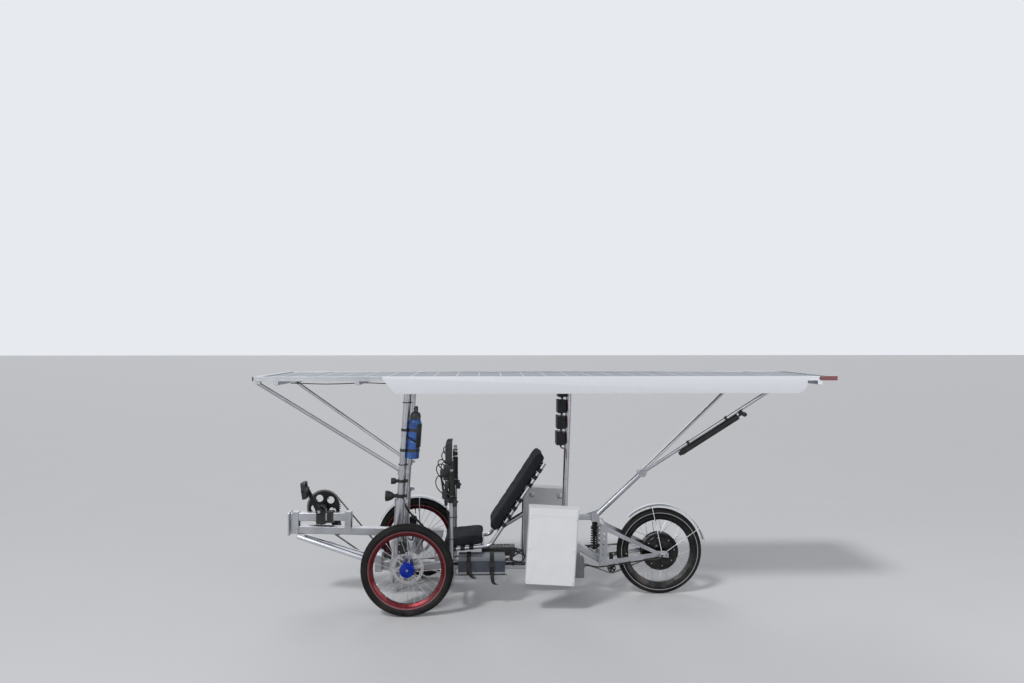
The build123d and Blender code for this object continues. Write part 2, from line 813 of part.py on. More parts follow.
# Battery with its two straps and its plug panel
battery_z = (tray_top, tray_top + battery_tall)
battery_middle = ((battery_y[0] + battery_y[1]) / 2, (battery_z[0] + battery_z[1]) / 2)
battery_wide = battery_y[1] - battery_y[0]
with BuildPart() as battery_pack:
    for x, grow, corner in (
        ((battery_x[0], battery_x[1]), -strap_thick, 8.0),
        ((strap_places[0] - strap_half, strap_places[0] + strap_half), 0.0, 9.0),
        ((strap_places[1] - strap_half, strap_places[1] + strap_half), 0.0, 9.0),
    ):
        with BuildSketch(Plane.YZ.offset(x[0])):
            with Locations(battery_middle):
                RectangleRounded(battery_wide + 2 * grow, battery_tall + 2 * grow, corner)
        extrude(amount=x[1] - x[0])
    plug_y = (battery_y[0] + 25, battery_y[1] - 25)
    block((battery_x[1] - 1, battery_x[1] + 4), plug_y, (battery_z[1] - 50, battery_z[1] - 18))
pieces["battery_pack"] = battery_pack

# Power electronics: a box under the seat on two feet and a socket box on the keel's left side
power_z = (keel_top + power_lift, keel_top + power_lift + power_tall)
with BuildPart() as power_box:
    with BuildSketch(Plane.YZ.offset(power_x[0])):
        with Locations(((power_y[0] + power_y[1]) / 2, (power_z[0] + power_z[1]) / 2)):
            RectangleRounded(power_y[1] - power_y[0], power_tall, 6)
    extrude(amount=power_x[1] - power_x[0])
    for rib in range(7):
        place = power_x[0] + 24 + rib * 22
        slot_y = (power_y[0] + 12, power_y[1] - 12)
        block((place, place + 8), slot_y, (power_z[1] - 4, power_z[1] + 1), Mode.SUBTRACT)
    for place in (power_x[0] + 14, power_x[1] - 31):
        block((place, place + 20), (-15, 15), (keel_top, power_z[0] + 4))
    for y in (-28, 20):
        tube((power_x[1] - 2, y, power_z[0] + 22), (power_x[1] + 14, y, power_z[0] + 22), 7)
    with BuildSketch(Plane.XZ.offset(keel_half + gap)):
        with Locations(((socket_x[0] + socket_x[1]) / 2, keel_middle - 8)):
            RectangleRounded(socket_x[1] - socket_x[0], socket_tall, 8)
    extrude(amount=socket_thick)
    socket_y = -keel_half - gap - socket_thick / 2
    tube((socket_x[1] - 1, socket_y, keel_middle), (socket_x[1] + 10, socket_y, keel_middle), 11)
pieces["power_box"] = power_box

# Carriers of the side boxes
carrier_x = 30.0
box_inner = box_outer - box_thick + lid_lip
with BuildPart() as box_carriers:
    for z in (keel_top + 12, keel_top + 223):
        tube((carrier_x, -box_inner + gap, z), (carrier_x, box_inner - gap, z), 10)
        for side in (-1, 1):
            disc(carrier_x, (side * (box_inner - gap - 5), side * (box_inner - gap)), z, 26)
    block((carrier_x - 22, carrier_x + 22), (-14, 14), (keel_top, keel_top + 233))
pieces["box_carriers"] = box_carriers

# Side boxes with their lids
box_run = Vector(math.sin(math.radians(box_tilt)), 0, math.cos(math.radians(box_tilt)))
box_across = Vector(box_run.Z, 0, -box_run.X)
with BuildPart() as side_boxes:
    for side in (-1, 1):
        middle = Vector(box_middle[0], side * (box_outer - box_thick / 2), box_middle[1])
        # low and high end along the box, growth of the section
        top = box_tall / 2
        for low, high, grow in ((-top, top - 4, -lid_lip), (top - lid_tall, top, 0.0)):
            with BuildSketch(Plane(origin=middle + box_run * low, x_dir=box_across, z_dir=box_run)):
                RectangleRounded(box_length + 2 * grow, box_thick + 2 * grow, box_corner)
            extrude(amount=high - low)
pieces["side_boxes"] = side_boxes

# Swingarm: pierced side plates with dropouts, a cross block and the wheel's fixed axle
with BuildPart() as swingarm:
    for side in (-1, 1):
        inner = side * (stay_y - stay_thick / 2)
        with BuildSketch(Plane.XZ.offset(-inner)):
            with BuildLine():
                Polyline(
                    (pivot_x - 16, pivot_z - 16),
                    (pivot_x + 14, pivot_z - 16),
                    (rear_axle_x - 20, axle_z - 16),
                    (rear_axle_x + 40, axle_z - 22),
                    (rear_axle_x + 40, axle_z + 4),
                    (rear_axle_x + 18, axle_z + 18),
                    (rear_axle_x - 30, axle_z + 18),
                    (pivot_x + 40, pivot_z + 203),
                    (pivot_x + 24, pivot_z + 225),
                    (pivot_x - 6, pivot_z + 225),
                    close=True,
                )
            make_face()
            with BuildLine():
                Polyline(
                    (pivot_x + 34, pivot_z + 14),
                    (rear_axle_x - 52, axle_z + 6),
                    (pivot_x + 34, pivot_z + 178),
                    close=True,
                )
            make_face(mode=Mode.SUBTRACT)
            with Locations((pivot_x, pivot_z)):
                Circle(6 + seat_fit, mode=Mode.SUBTRACT)
            for number in range(5):
                with Locations((pivot_x + 8 + number * 1.6, pivot_z + 46 + number * 30)):
                    Circle(6.5, mode=Mode.SUBTRACT)
            if side < 0:
                with Locations((rear_axle_x + hitch_x, axle_z + hitch_z)):
                    Circle(hitch_radius, mode=Mode.SUBTRACT)
        extrude(amount=-side * stay_thick)
    block((pivot_x - 4, pivot_x + 20), (-stay_y, stay_y), (pivot_z + 199, pivot_z + 223))
    disc(rear_axle_x, (-stay_y - 18, stay_y + 18), axle_z, rear_axle_radius)
    for side in (-1, 1):
        outer = side * (stay_y + stay_thick / 2)
        disc(rear_axle_x, (outer, outer + side * 8), axle_z, 11)
pieces["swingarm"] = swingarm

# Shock absorber with its coil
shock_low = (300.0, 0.0, 262.0)
shock_top = link_z - link_half - gap
coil_low = 18.0  # along the shock, from its lower end
coil_pitch = 14.0
coil_turns = 8
shock_profile = [(0, 0), (0, 9), (10, 9), (10, 19), (coil_low - 4, 19)]
for turn in range(coil_turns):
    place = coil_low + turn * coil_pitch
    shock_profile += [(place - 3, 17), (place + 2, 22.5), (place + 7, 17)]
coil_high = coil_low + coil_turns * coil_pitch
shock_profile += [(coil_high, 19), (coil_high + 8, 19), (coil_high + 8, 14)]
shock_profile += [(coil_high + 34, 14), (coil_high + 34, 0)]
shock_run = (link_x - shock_low[0], 0, shock_top - shock_low[2])
shock_body = turned(shock_profile, shock_low, shock_run, (0, 1, 0))
with BuildPart() as rear_shock:
    add(shock_body)
    tube((shock_low[0], 0, shock_low[2] + 20), (link_x, 0, shock_top), 7)
pieces["rear_shock"] = rear_shock

# Chain, a closed loop with a slot for the sprockets' teeth. Columns: x, z, radius, side
cassette_teeth = 20
cassette_radius = chain_pitch * cassette_teeth / (2 * math.pi)
front_idler = (front_axle_x - 118.0, keel_bottom + 63.0, 35.0)
rear_idler = (pivot_x + 80.0, keel_bottom - 24.0, 30.0)
return_z = keel_bottom + 1.0
chain_run = [
    (crank_x, crank_z, ring_pitch_radius, 1),
    (*front_idler, -1),
    (rear_axle_x, axle_z, cassette_radius, 1),
    (*rear_idler, 1),
    (235.0, return_z - 140.0, 140.0, -1),
    (-940.0, return_z + 70.0, 70.0, 1),
]
with BuildPart() as chain:
    for out, inside_out, half, mode in (
        (chain_outside, -chain_inside, chain_half, Mode.ADD),
        (groove_top, -chain_inside, groove_half, Mode.SUBTRACT),
    ):
        with BuildSketch(Plane.XZ.offset(-chain_y)):
            with BuildLine():
                belt_outline(chain_run, out)
            make_face()
            with BuildLine():
                belt_outline(chain_run, inside_out)
            make_face(mode=Mode.SUBTRACT)
        extrude(amount=half, both=True, mode=mode)
pieces["chain"] = chain

# Chain idlers on their brackets, and the tube that leads the driven run past the pivot
upper_run = belt_runs(chain_run, 0)[1]
guide_inner = 8.0
guide_wall = 1.5
guide_reach = (150.0, 345.0)  # x of the tube's ends


def upper_run_at(x):
    share = (x - upper_run[0][0]) / (upper_run[1][0] - upper_run[0][0])
    return (x, chain_y, upper_run[0][1] + share * (upper_run[1][1] - upper_run[0][1]))


rollers = []
for (x, z, wrap_radius), side_gap in ((front_idler, chain_outside), (rear_idler, chain_inside)):
    rollers.append((x, z, wrap_radius - side_gap - gap))
with BuildPart() as chain_idlers:
    for x, z, radius in rollers:
        disc(x, (chain_y - 5, chain_y + 5), z, radius)
        for number in range(5):
            turn = math.radians(72 * number)
            reach = 0.62 * radius
            hole_x = x + reach * math.cos(turn)
            hole_z = z + reach * math.sin(turn)
            disc(hole_x, (chain_y - 6, chain_y + 6), hole_z, 0.2 * radius, Mode.SUBTRACT)
    disc(front_idler[0], (keel_half, chain_y + 8), front_idler[1], 6)
    idler_x = (front_idler[0] - 20, front_idler[0] + 20)
    block(idler_x, (keel_half, keel_half + 6), (keel_bottom + 6, front_idler[1] + 16))
    disc(rear_idler[0], (chain_y - 8, stay_y), rear_idler[1], 5)
    block(
        (rear_idler[0] - 12, rear_idler[0] + 12),
        (stay_y - stay_thick / 2 - gap - 5, stay_y - stay_thick / 2 - gap),
        (rear_idler[1] - 12, pivot_z + 21),
    )
    tube(upper_run_at(guide_reach[0]), upper_run_at(guide_reach[1]), guide_inner + guide_wall)
    tube(upper_run_at(guide_reach[0] - 1), upper_run_at(guide_reach[1] + 1), guide_inner, Mode.SUBTRACT)
    holder = upper_run_at(guide_reach[0] + 40)
    block(
        (holder[0] - 8, holder[0] + 8),
        (post_half + gap, chain_y - guide_inner - guide_wall / 2),
        (holder[2] - 6, holder[2] + 6),
    )
pieces["chain_idlers"] = chain_idlers

# Rear mudguard with its wire stays
stay_angles = (30, 100)
rear_strip = mudguard_strip(rear_axle_x, 0, guard_radius, 29, 12, 120)
with BuildPart() as rear_mudguard:
    add(rear_strip)
    eye = stay_y + stay_thick / 2 + 8 + gap
    for side in (-1, 1):
        disc(rear_axle_x, (side * eye, side * (eye + 4)), axle_z, 10)
        for angle in stay_angles:
            reach = Vector(guard_radius - 6, 0, 0).rotate(Axis.Y, -angle)
            tip = Vector(rear_axle_x, side * 26, axle_z) + reach
            root = Vector(rear_axle_x, side * (eye + 2), axle_z) + Vector(8, 0, 0).rotate(Axis.Y, -angle)
            tube((root.X, root.Y, root.Z), (tip.X, tip.Y, tip.Z), 2)
        eye_y = (side * (eye - 1), side * (eye + 5))
        disc(rear_axle_x, eye_y, axle_z, rear_axle_radius + seat_fit, Mode.SUBTRACT)
pieces["rear_mudguard"] = rear_mudguard

# Lamps on the left mast. Profiles: place forward of the back, radius
lamp_z = 624.0
small_z = 708.0
lamp_ring = mast_radius + 5
lamp_face = [(0, 0), (0, 12), (8, 20), (28, 28), (38, 30), (46, 30), (46, 27), (43, 26), (43, 0)]
small_face = [(0, 0), (0, 10), (5, 17), (28, 18), (28, 15), (26, 14), (26, 0)]
lamp_back = mast_x(lamp_z) - lamp_ring - 14
small_back = mast_x(small_z) - lamp_ring - 6
big_lamp = turned(lamp_face, (lamp_back, -mast_y, lamp_z), (-1, 0, 0), (0, 0, 1))
small_lamp = turned(small_face, (small_back, -mast_y, small_z), (-1, 0, 0), (0, 0, 1))
with BuildPart() as lamps:
    add(big_lamp)
    add(small_lamp)
    for z, back, half in ((lamp_z, lamp_back, 10), (small_z, small_back, 8)):
        block((back - 4, mast_x(z) - mast_radius), (-mast_y - half, -mast_y + half), (z - half, z + half))
        tube((mast_x(z - half), -mast_y, z - half), (mast_x(z + half), -mast_y, z + half), lamp_ring)
        pinch_ears(mast_x(z), -mast_y, z, lamp_ring)
    tube((mast_x(560), -mast_y, 560), (mast_x(780), -mast_y, 780), mast_radius + seat_fit, Mode.SUBTRACT)
pieces["lamps"] = lamps

# Bottle in its cage behind the left mast. Profile: height, radius
bottle_z = 836.0
bottle_radius = 35.0
bottle_profile = [
    (0, 0), (0, 31), (4, 35), (92, 35), (98, 32.5), (112, 32.5), (118, 35), (205, 35), (216, 31), (222, 27),
    (222, 30), (242, 30), (258, 24), (262, 13), (284, 12), (294, 9), (294, 0),
]
bottle_x = mast_radius + bottle_radius + 2.5
bottle_low = (mast_x(bottle_z) + bottle_x, -mast_y, bottle_z)
bottle_body = turned(bottle_profile, bottle_low, (mast_lean, 0, 1), (0, 1, 0))
with BuildPart() as bottle:
    add(bottle_body)
    for height in (46, 160):
        z = bottle_z + height
        centre = mast_x(z) + bottle_x
        lean = mast_lean * 5
        tube((centre - lean, -mast_y, z - 5), (centre + lean, -mast_y, z + 5), bottle_radius + 1.6)
        tube((mast_x(z - 8), -mast_y, z - 8), (mast_x(z + 8), -mast_y, z + 8), mast_radius + 3)
        tube(
            (mast_x(z - 30), -mast_y, z - 30),
            (mast_x(z + 30), -mast_y, z + 30),
            mast_radius + seat_fit,
            Mode.SUBTRACT,
        )
pieces["bottle"] = bottle

# Floor pump clamped under the left rear strut
pump_radius = 16.0
pump_reach = (265.0, 655.0)  # along the strut
handle_turn = 60.0  # of the handle, out of the strut's own plane
pump_drop = Vector(step.Z, 0, -step.X).normalized()
pump_offset = pump_drop * (strut_radius + pump_radius + gap + 0.4)


def along_strut(reach):
    point = low_point + step * reach
    return Vector(point.X, -point.Y, point.Z)


left_step = Vector(step.X, -step.Y, step.Z)
pump_side = left_step.cross(pump_drop).normalized()
handle_run = pump_drop * math.cos(math.radians(handle_turn)) + pump_side * math.sin(math.radians(handle_turn))
with BuildPart() as floor_pump:
    low = along_strut(pump_reach[0]) + pump_offset
    high = along_strut(pump_reach[1]) + pump_offset
    handle = high + left_step * 30
    tube(low, high, pump_radius)
    tube(low - left_step * 14, low + left_step, pump_radius - 4)
    tube(high, handle, 5)
    tube(handle - handle_run * 46, handle + handle_run * 46, 8)
    for reach in (pump_reach[0] + 70, pump_reach[1] - 60):
        ring = along_strut(reach)
        tube(ring - left_step * 7, ring + left_step * 7, strut_radius + 4)
        tube(ring - left_step * 30, ring + left_step * 30, strut_radius + seat_fit, Mode.SUBTRACT)
pieces["floor_pump"] = floor_pump

# Two cables held along the left front mast, clear of the clamps on it
cable_out = mast_radius + 10.0
with BuildPart() as mast_cables:
    for turn in (50, 72):
        across = cable_out * math.cos(math.radians(turn))
        beside = -mast_y + cable_out * math.sin(math.radians(turn))
        foot = sleeve_top_z + 14
        head = beam_bottom - 9 - gap
        tube((mast_x(foot) + across, beside, foot), (mast_x(head) + across, beside, head), cable_radius)
pieces["mast_cables"] = mast_cables

# Steering bar with its hub and drag rod plate
with BuildPart() as handlebar:
    with BuildLine(Plane.YZ.offset(bar_x)):
        bar_line = FilletPolyline(
            (-bar_y, bar_top), (-bar_y, bar_z), (bar_y, bar_z), (bar_y, bar_top), radius=bar_bend
        )
    with BuildSketch(Plane(origin=bar_line @ 0, z_dir=bar_line % 0)):
        Circle(bar_radius)
    sweep()
    tube((bar_x, 0, bar_z - 13), (bar_x, 0, hub_top), 17)
    with BuildSketch(Plane.XY.offset(bar_z - 3)):
        with BuildLine():
            Polyline(
                (bar_x, 24),
                (bar_x + arm_x - 8, arm_y + 10),
                (bar_x + arm_x - 8, -arm_y - 10),
                (bar_x, -24),
                close=True,
            )
        make_face()
    extrude(amount=6)
    for side in (-1, 1):
        x, y = bar_x + arm_x, side * arm_y
        tube((x, y, rod_z - 8), (x, y, bar_z), rod_pin)
        tube((x, y, rod_z + 4.8), (x, y, bar_z), 7)
    tube((bar_x, 0, bar_z - 30), (bar_x, 0, bar_z + 30), pivot_radius + running, Mode.SUBTRACT)
pieces["handlebar"] = handlebar

# Ribbed grips. Profile: height, radius
grip_profile = [(0, bar_radius), (0, grip_radius + 2), (5, grip_radius + 2), (6, grip_radius - 1)]
rib_pitch = (grip_length - 20) / grip_ribs
for rib in range(grip_ribs):
    place = 9 + rib * rib_pitch
    grip_profile += [(place, grip_radius - 1), (place + 0.6 * rib_pitch, grip_radius)]
grip_profile += [(grip_length - 4, grip_radius), (grip_length, grip_radius - 3), (grip_length, bar_radius)]
grip_bodies = [turned(grip_profile, (bar_x, side * bar_y, grip_low), (0, 0, 1)) for side in (-1, 1)]
with BuildPart() as grips:
    for body in grip_bodies:
        add(body)
    for side in (-1, 1):
        y = side * bar_y
        past_grip = (bar_x, y, grip_low + grip_length + 20)
        tube((bar_x, y, grip_low - 20), past_grip, bar_radius + seat_fit, Mode.SUBTRACT)
pieces["grips"] = grips

# Brake levers: clamp, cylinder and curved blade
with BuildPart() as brake_levers:
    for side in (-1, 1):
        y = side * bar_y
        tube((bar_x, y, lever_z - 18), (bar_x, y, lever_z + 18), 17)
        block((bar_x - 40, bar_x), (y - 9, y + 9), (lever_z - 16, lever_z + 16))
        tube((bar_x - 30, y, lever_z - 34), (bar_x - 30, y, lever_z + 20), 9)
        with BuildSketch(Plane.XZ.offset(-y)):
            with BuildLine():
                Polyline(
                    (bar_x - 30, lever_z - 6),
                    (bar_x - 44, lever_z + 6),
                    (bar_x - 52, lever_z + 60),
                    (bar_x - 62, lever_z + 128),
                    (bar_x - 52, lever_z + 132),
                    (bar_x - 41, lever_z + 62),
                    (bar_x - 32, lever_z + 14),
                    close=True,
                )
            make_face()
        extrude(amount=6, both=True)
        tube((bar_x, y, lever_z - 60), (bar_x, y, lever_z + 280), bar_radius + seat_fit, Mode.SUBTRACT)
pieces["brake_levers"] = brake_levers

# Mirror on a stem from the left bar end, facing the rear
mirror_wide = 86.0
mirror_tall = 140.0
mirror_y = -bar_y - mirror_wide / 2 - bar_radius - 3.0
mirror_x = (bar_x - 17, bar_x + 9)
with BuildPart() as mirror:
    with BuildSketch(Plane.YZ.offset(mirror_x[0])):
        with Locations((mirror_y, mirror_z)):
            RectangleRounded(mirror_wide, mirror_tall, 24)
    extrude(amount=mirror_x[1] - mirror_x[0])
    with BuildSketch(Plane.YZ.offset(mirror_x[1] - 2)):
        with Locations((mirror_y, mirror_z)):
            RectangleRounded(mirror_wide - 10, mirror_tall - 10, 20)
    extrude(amount=3, mode=Mode.SUBTRACT)
    tube((bar_x, -bar_y, mirror_z - 86), (bar_x, -bar_y, mirror_z - 60), 15)
    tube((bar_x, -bar_y - 12, mirror_z - 73), (bar_x - 4, mirror_y + 20, mirror_z - 50), 4)
    past_stem = (bar_x, -bar_y, mirror_z + 30)
    tube((bar_x, -bar_y, mirror_z - 120), past_stem, bar_radius + seat_fit, Mode.SUBTRACT)
pieces["mirror"] = mirror

# Knuckles, calipers, drag rods and wheels of both sides
yoke_low = (head_bottom - 16, head_bottom - gap)
yoke_high = (head_top + gap, head_top + 10)
yoke_plate = (half_track - 61, half_track - 51)
yoke_half = 18.0
arm_post = 7.0
rim_seat = rim_radius - gap
rim_profile = [
    (-bead_half - 0.5, rim_seat),
    (-rim_half - 1.5, rim_seat + rim_flange),
    (-rim_half - 3.2, rim_seat + rim_flange),
    (-rim_half, rim_seat - 8),
    (-rim_well, rim_radius - rim_depth),
    (rim_well, rim_radius - rim_depth),
    (rim_half, rim_seat - 8),
    (rim_half + 3.2, rim_seat + rim_flange),
    (rim_half + 1.5, rim_seat + rim_flange),
    (bead_half + 0.5, rim_seat),
]
rotor_back = rotor_place + rotor_thick / 2
flange_half = flange_thick / 2
hub_profile = [
    (-rotor_back, stub_radius + running),
    (-rotor_back, 20),
    (-rotor_back + rotor_thick, 20),
    (-rotor_back + rotor_thick, rotor_boss - 3),
    (-rotor_back + 7, rotor_boss - 3),
    (flange_places[0] - flange_half - 4, hub_barrel + 1),
    (flange_places[0] - flange_half, hub_radius),
    (flange_places[0] + flange_half, hub_radius),
    (flange_places[0] + flange_half + 3.5, hub_barrel + 6),
    (-6, hub_barrel),
    (6, hub_barrel),
    (flange_places[1] - flange_half - 3.5, hub_barrel + 6),
    (flange_places[1] - flange_half, hub_radius),
    (flange_places[1] + flange_half, hub_radius),
    (flange_places[1] + flange_half + 2, hub_barrel + 2),
    (hub_outer, hub_barrel + 2),
    (hub_outer, stub_radius + running),
]


def spoke_ends(number, root_radius, flanges, cross):
    """Root and tip of one laced spoke as (x, across, z) from the wheel's middle."""
    flange = flanges[number % 2]
    lead = 1 if number % 4 < 2 else -1
    tip_turn = 360.0 / spoke_count * number
    root_turn = tip_turn + lead * cross * 360.0 / spoke_count
    root = Vector(root_radius, 0, 0).rotate(Axis.Y, root_turn)
    tip = Vector(rim_radius - rim_depth - 2 * gap, 0, 0).rotate(Axis.Y, tip_turn)
    across = flange + lead * (flange_half + spoke_side / 2 - 0.4)
    return Vector(root.X, across, root.Z), Vector(tip.X, flange / 6, tip.Z)


# Tyre about the y axis with narrow flats round it, so that it stands on one, and a wedge-shaped bead
flank_radius = tyre_radius - tyre_shoulder
wall_radius = tyre_radius - tyre_wall
with BuildPart() as tyre_form:
    for way in (-1, 1):
        tapered_side(0, way, tyre_radius, way * tyre_crown, tyre_radius)
        tapered_side(way * tyre_crown, way, tyre_radius, way * tyre_flank, flank_radius)
        tapered_side(way * tyre_flank, way, flank_radius, way * tyre_half, wall_radius)
    for way in (-1, 1):
        tapered_side(way * tyre_half, -way, wall_radius, way * bead_half, rim_radius, Mode.SUBTRACT)
        tapered_side(0, way, rim_radius, way * (tyre_half + 1), rim_radius, Mode.SUBTRACT)

for name, side in (("left", -1), ("right", 1)):
    pin_y = side * kingpin_y
    wheel_y = side * half_track
    outwards = (0, side, 0)
    hub_centre = (front_axle_x, wheel_y, axle_z)
    arm = (front_axle_x + arm_x, pin_y + side * arm_y)
    with BuildPart() as knuckle:
        tube((front_axle_x, pin_y, yoke_low[0]), (front_axle_x, pin_y, yoke_high[1]), kingpin_radius)
        for z in (yoke_low, yoke_high):
            tube((front_axle_x, pin_y, z[0]), (front_axle_x, pin_y, z[1]), head_radius)
            block((front_axle_x - yoke_half, front_axle_x + yoke_half), (pin_y, side * yoke_plate[1]), z)
        block(
            (front_axle_x - yoke_half, front_axle_x + yoke_half),
            (side * yoke_plate[0], side * yoke_plate[1]),
            (yoke_low[0], yoke_high[1]),
        )
        with BuildSketch(Plane.XY.offset(yoke_low[0])):
            with BuildLine():
                Polyline(
                    (front_axle_x + 8, pin_y - 18),
                    (front_axle_x + 8, pin_y + 18),
                    (arm[0] - 8, arm[1] + 9),
                    (arm[0] - 8, arm[1] - 9),
                    close=True,
                )
            make_face()
        extrude(amount=8)
        tube((*arm, rod_z + 4.8), (*arm, yoke_low[0] + 8), arm_post)
        tube((*arm, rod_z - 8), (*arm, rod_z + 10), rod_pin)
        disc(front_axle_x, (side * yoke_plate[0], wheel_y + side * 14), axle_z, stub_radius)
        disc(front_axle_x, (side * yoke_plate[1], side * (yoke_plate[1] + 6)), axle_z, stub_radius + 6)
    pieces[f"{name}_knuckle"] = knuckle

    with BuildPart() as caliper:
        inner = wheel_y - side * (rotor_place + 13)
        outer = wheel_y - side * (rotor_place - 12)
        with BuildSketch(Plane.XZ.offset(-inner)):
            with Locations((front_axle_x - 30, axle_z + 111)):
                RectangleRounded(44, 66, 9)
        extrude(amount=-side * abs(outer - inner))
        for z in (axle_z + 96, axle_z + 126):
            disc(front_axle_x - 30, (inner + side * 1, inner - side * 4), z, 11)
        block(
            (front_axle_x - 34, front_axle_x + 2),
            (inner + side * 1, inner - side * 18),
            (yoke_high[1] + gap, yoke_high[1] + 20),
        )
        block(
            (front_axle_x - 60, front_axle_x),
            (wheel_y - side * (rotor_place + 3.2), wheel_y - side * (rotor_place - 3.2)),
            (axle_z + 70, axle_z + rotor_radius + 5),
            Mode.SUBTRACT,
        )
    pieces[f"{name}_caliper"] = caliper

    with BuildPart() as drag_rod:
        near = (bar_x + arm_x, side * arm_y, rod_z)
        far = (*arm, rod_z)
        tube(near, far, rod_radius)
        rod_run = (Vector(*far) - Vector(*near)).normalized()
        for place, way in ((Vector(*near), 1), (Vector(*far), -1)):
            tube((place.X, place.Y, rod_z - 4.5), (place.X, place.Y, rod_z + 4.5), rod_eye)
            collar_end = place + rod_run * (way * 32)
            tube((place.X, place.Y, rod_z), (collar_end.X, collar_end.Y, rod_z), rod_radius + 0.6)
        tube((near[0], near[1], rod_z - 9), (near[0], near[1], rod_z + 9), rod_pin + running, Mode.SUBTRACT)
        tube((far[0], far[1], rod_z - 9), (far[0], far[1], rod_z + 9), rod_pin + open_play, Mode.SUBTRACT)
    pieces[f"{name}_drag_rod"] = drag_rod

    with BuildPart() as tyre:
        add(Pos(*hub_centre) * tyre_form.part)
    pieces[f"{name}_front_tyre"] = tyre

    rim_body = turned(rim_profile, hub_centre, outwards)
    with BuildPart() as rim:
        add(rim_body)
    pieces[f"{name}_front_rim"] = rim

    hub_body = turned(hub_profile, hub_centre, outwards)
    with BuildPart() as hub:
        add(hub_body)
        rotor_y = wheel_y - side * rotor_back
        with BuildSketch(Plane(origin=(front_axle_x, rotor_y, axle_z), x_dir=(1, 0, 0), z_dir=outwards)):
            Circle(rotor_radius)
            Circle(rotor_radius - rotor_track, mode=Mode.SUBTRACT)
            with PolarLocations((rotor_boss + rotor_radius - rotor_track) / 2, rotor_arms):
                Rectangle(rotor_radius - rotor_track - rotor_boss + 16, 11, rotation=28)
            Circle(rotor_boss)
            Circle(19, mode=Mode.SUBTRACT)
            with PolarLocations(rotor_radius - rotor_track / 2, rotor_holes):
                RegularPolygon(3.4, 6, mode=Mode.SUBTRACT)
        extrude(amount=rotor_thick)
        for number in range(spoke_count):
            root, tip = spoke_ends(number, hub_radius - 4, flange_places, spoke_cross)
            low = Vector(front_axle_x + root.X, wheel_y + side * root.Y, axle_z + root.Z)
            run = Vector(front_axle_x + tip.X, wheel_y + side * tip.Y, axle_z + tip.Z) - low
            with Locations(Plane(origin=low + run * 0.5, x_dir=(0, 1, 0), z_dir=run).location):
                Box(spoke_side, spoke_side, run.length)
        disc(
            front_axle_x,
            (wheel_y - side * (rotor_back + 20), wheel_y + side * 15),
            axle_z,
            stub_radius + running,
            Mode.SUBTRACT,
        )
    pieces[f"{name}_front_hub"] = hub

# Mudguard of the right front wheel on its stay
stay_place = half_track - 46
stay_top = axle_z + front_guard_radius + 3
front_strip = mudguard_strip(front_axle_x, half_track, front_guard_radius + 2.5, 22, 41, 114)
with BuildPart() as front_mudguard:
    add(front_strip)
    with BuildLine(Plane.YZ.offset(front_axle_x + 11)):
        stay_line = FilletPolyline(
            (stay_place, yoke_high[1] + 5), (stay_place, stay_top), (half_track - 8, stay_top), radius=12
        )
    with BuildSketch(Plane(origin=stay_line @ 0, z_dir=stay_line % 0)):
        Circle(3.5)
    sweep()
    block(
        (front_axle_x + 4, front_axle_x + 18),
        (yoke_plate[0] - 2, stay_place + 3),
        (yoke_high[1] + gap, yoke_high[1] + 6),
    )
pieces["right_mudguard"] = front_mudguard

# Rear wheel with its hub motor
rear_centre = (rear_axle_x, 0, axle_z)
with BuildPart() as rear_tyre:
    add(Pos(*rear_centre) * tyre_form.part)
pieces["rear_tyre"] = rear_tyre

rear_rim_body = turned(rim_profile, rear_centre, (0, 1, 0))
with BuildPart() as rear_rim:
    add(rear_rim_body)
pieces["rear_rim"] = rear_rim

motor_bore = rear_axle_radius + running
motor_shell = motor_radius - motor_rim_deep
motor_profile = [
    (-motor_half, motor_bore),
    (-motor_half, 40),
    (-motor_half + 6, 46),
    (-motor_rim_half - 4, motor_shell - 4),
    (-motor_rim_half, motor_shell),
    (-motor_rim_half, motor_radius),
    (-motor_rim_half + 5, motor_radius),
    (-motor_rim_half + 7, motor_radius - 4),
    (motor_rim_half - 7, motor_radius - 4),
    (motor_rim_half - 5, motor_radius),
    (motor_rim_half, motor_radius),
    (motor_rim_half, motor_shell),
    (motor_rim_half + 4, motor_shell - 4),
    (motor_half - 6, 46),
    (motor_half, 40),
    (motor_half, motor_bore),
]
motor_body = turned(motor_profile, rear_centre, (0, 1, 0))
with BuildPart() as hub_motor:
    add(motor_body)
    motor_flanges = (-motor_rim_half + 2.5, motor_rim_half - 2.5)
    for number in range(spoke_count):
        root, tip = spoke_ends(number, motor_radius - 5, motor_flanges, 1)
        low = Vector(rear_axle_x + root.X, root.Y, axle_z + root.Z)
        run = Vector(rear_axle_x + tip.X, tip.Y, axle_z + tip.Z) - low
        with Locations(Plane(origin=low + run * 0.5, x_dir=(0, 1, 0), z_dir=run).location):
            Box(spoke_side, spoke_side, run.length)
pieces["hub_motor"] = hub_motor

# Cassette of four toothed sprockets: columns are y and teeth
sprocket_table = ((50.0, 24), (55.0, 22), (60.0, cassette_teeth), (65.0, 18))
sprockets = [Pos(rear_axle_x, 0, axle_z) * sprocket(teeth, y) for y, teeth in sprocket_table]
with BuildPart() as cassette:
    disc(rear_axle_x, (motor_half + gap, 68), axle_z, 17)
    for body in sprockets:
        add(body)
    disc(rear_axle_x, (motor_half - 10, 80), axle_z, rear_axle_radius + running, Mode.SUBTRACT)
pieces["cassette"] = cassette

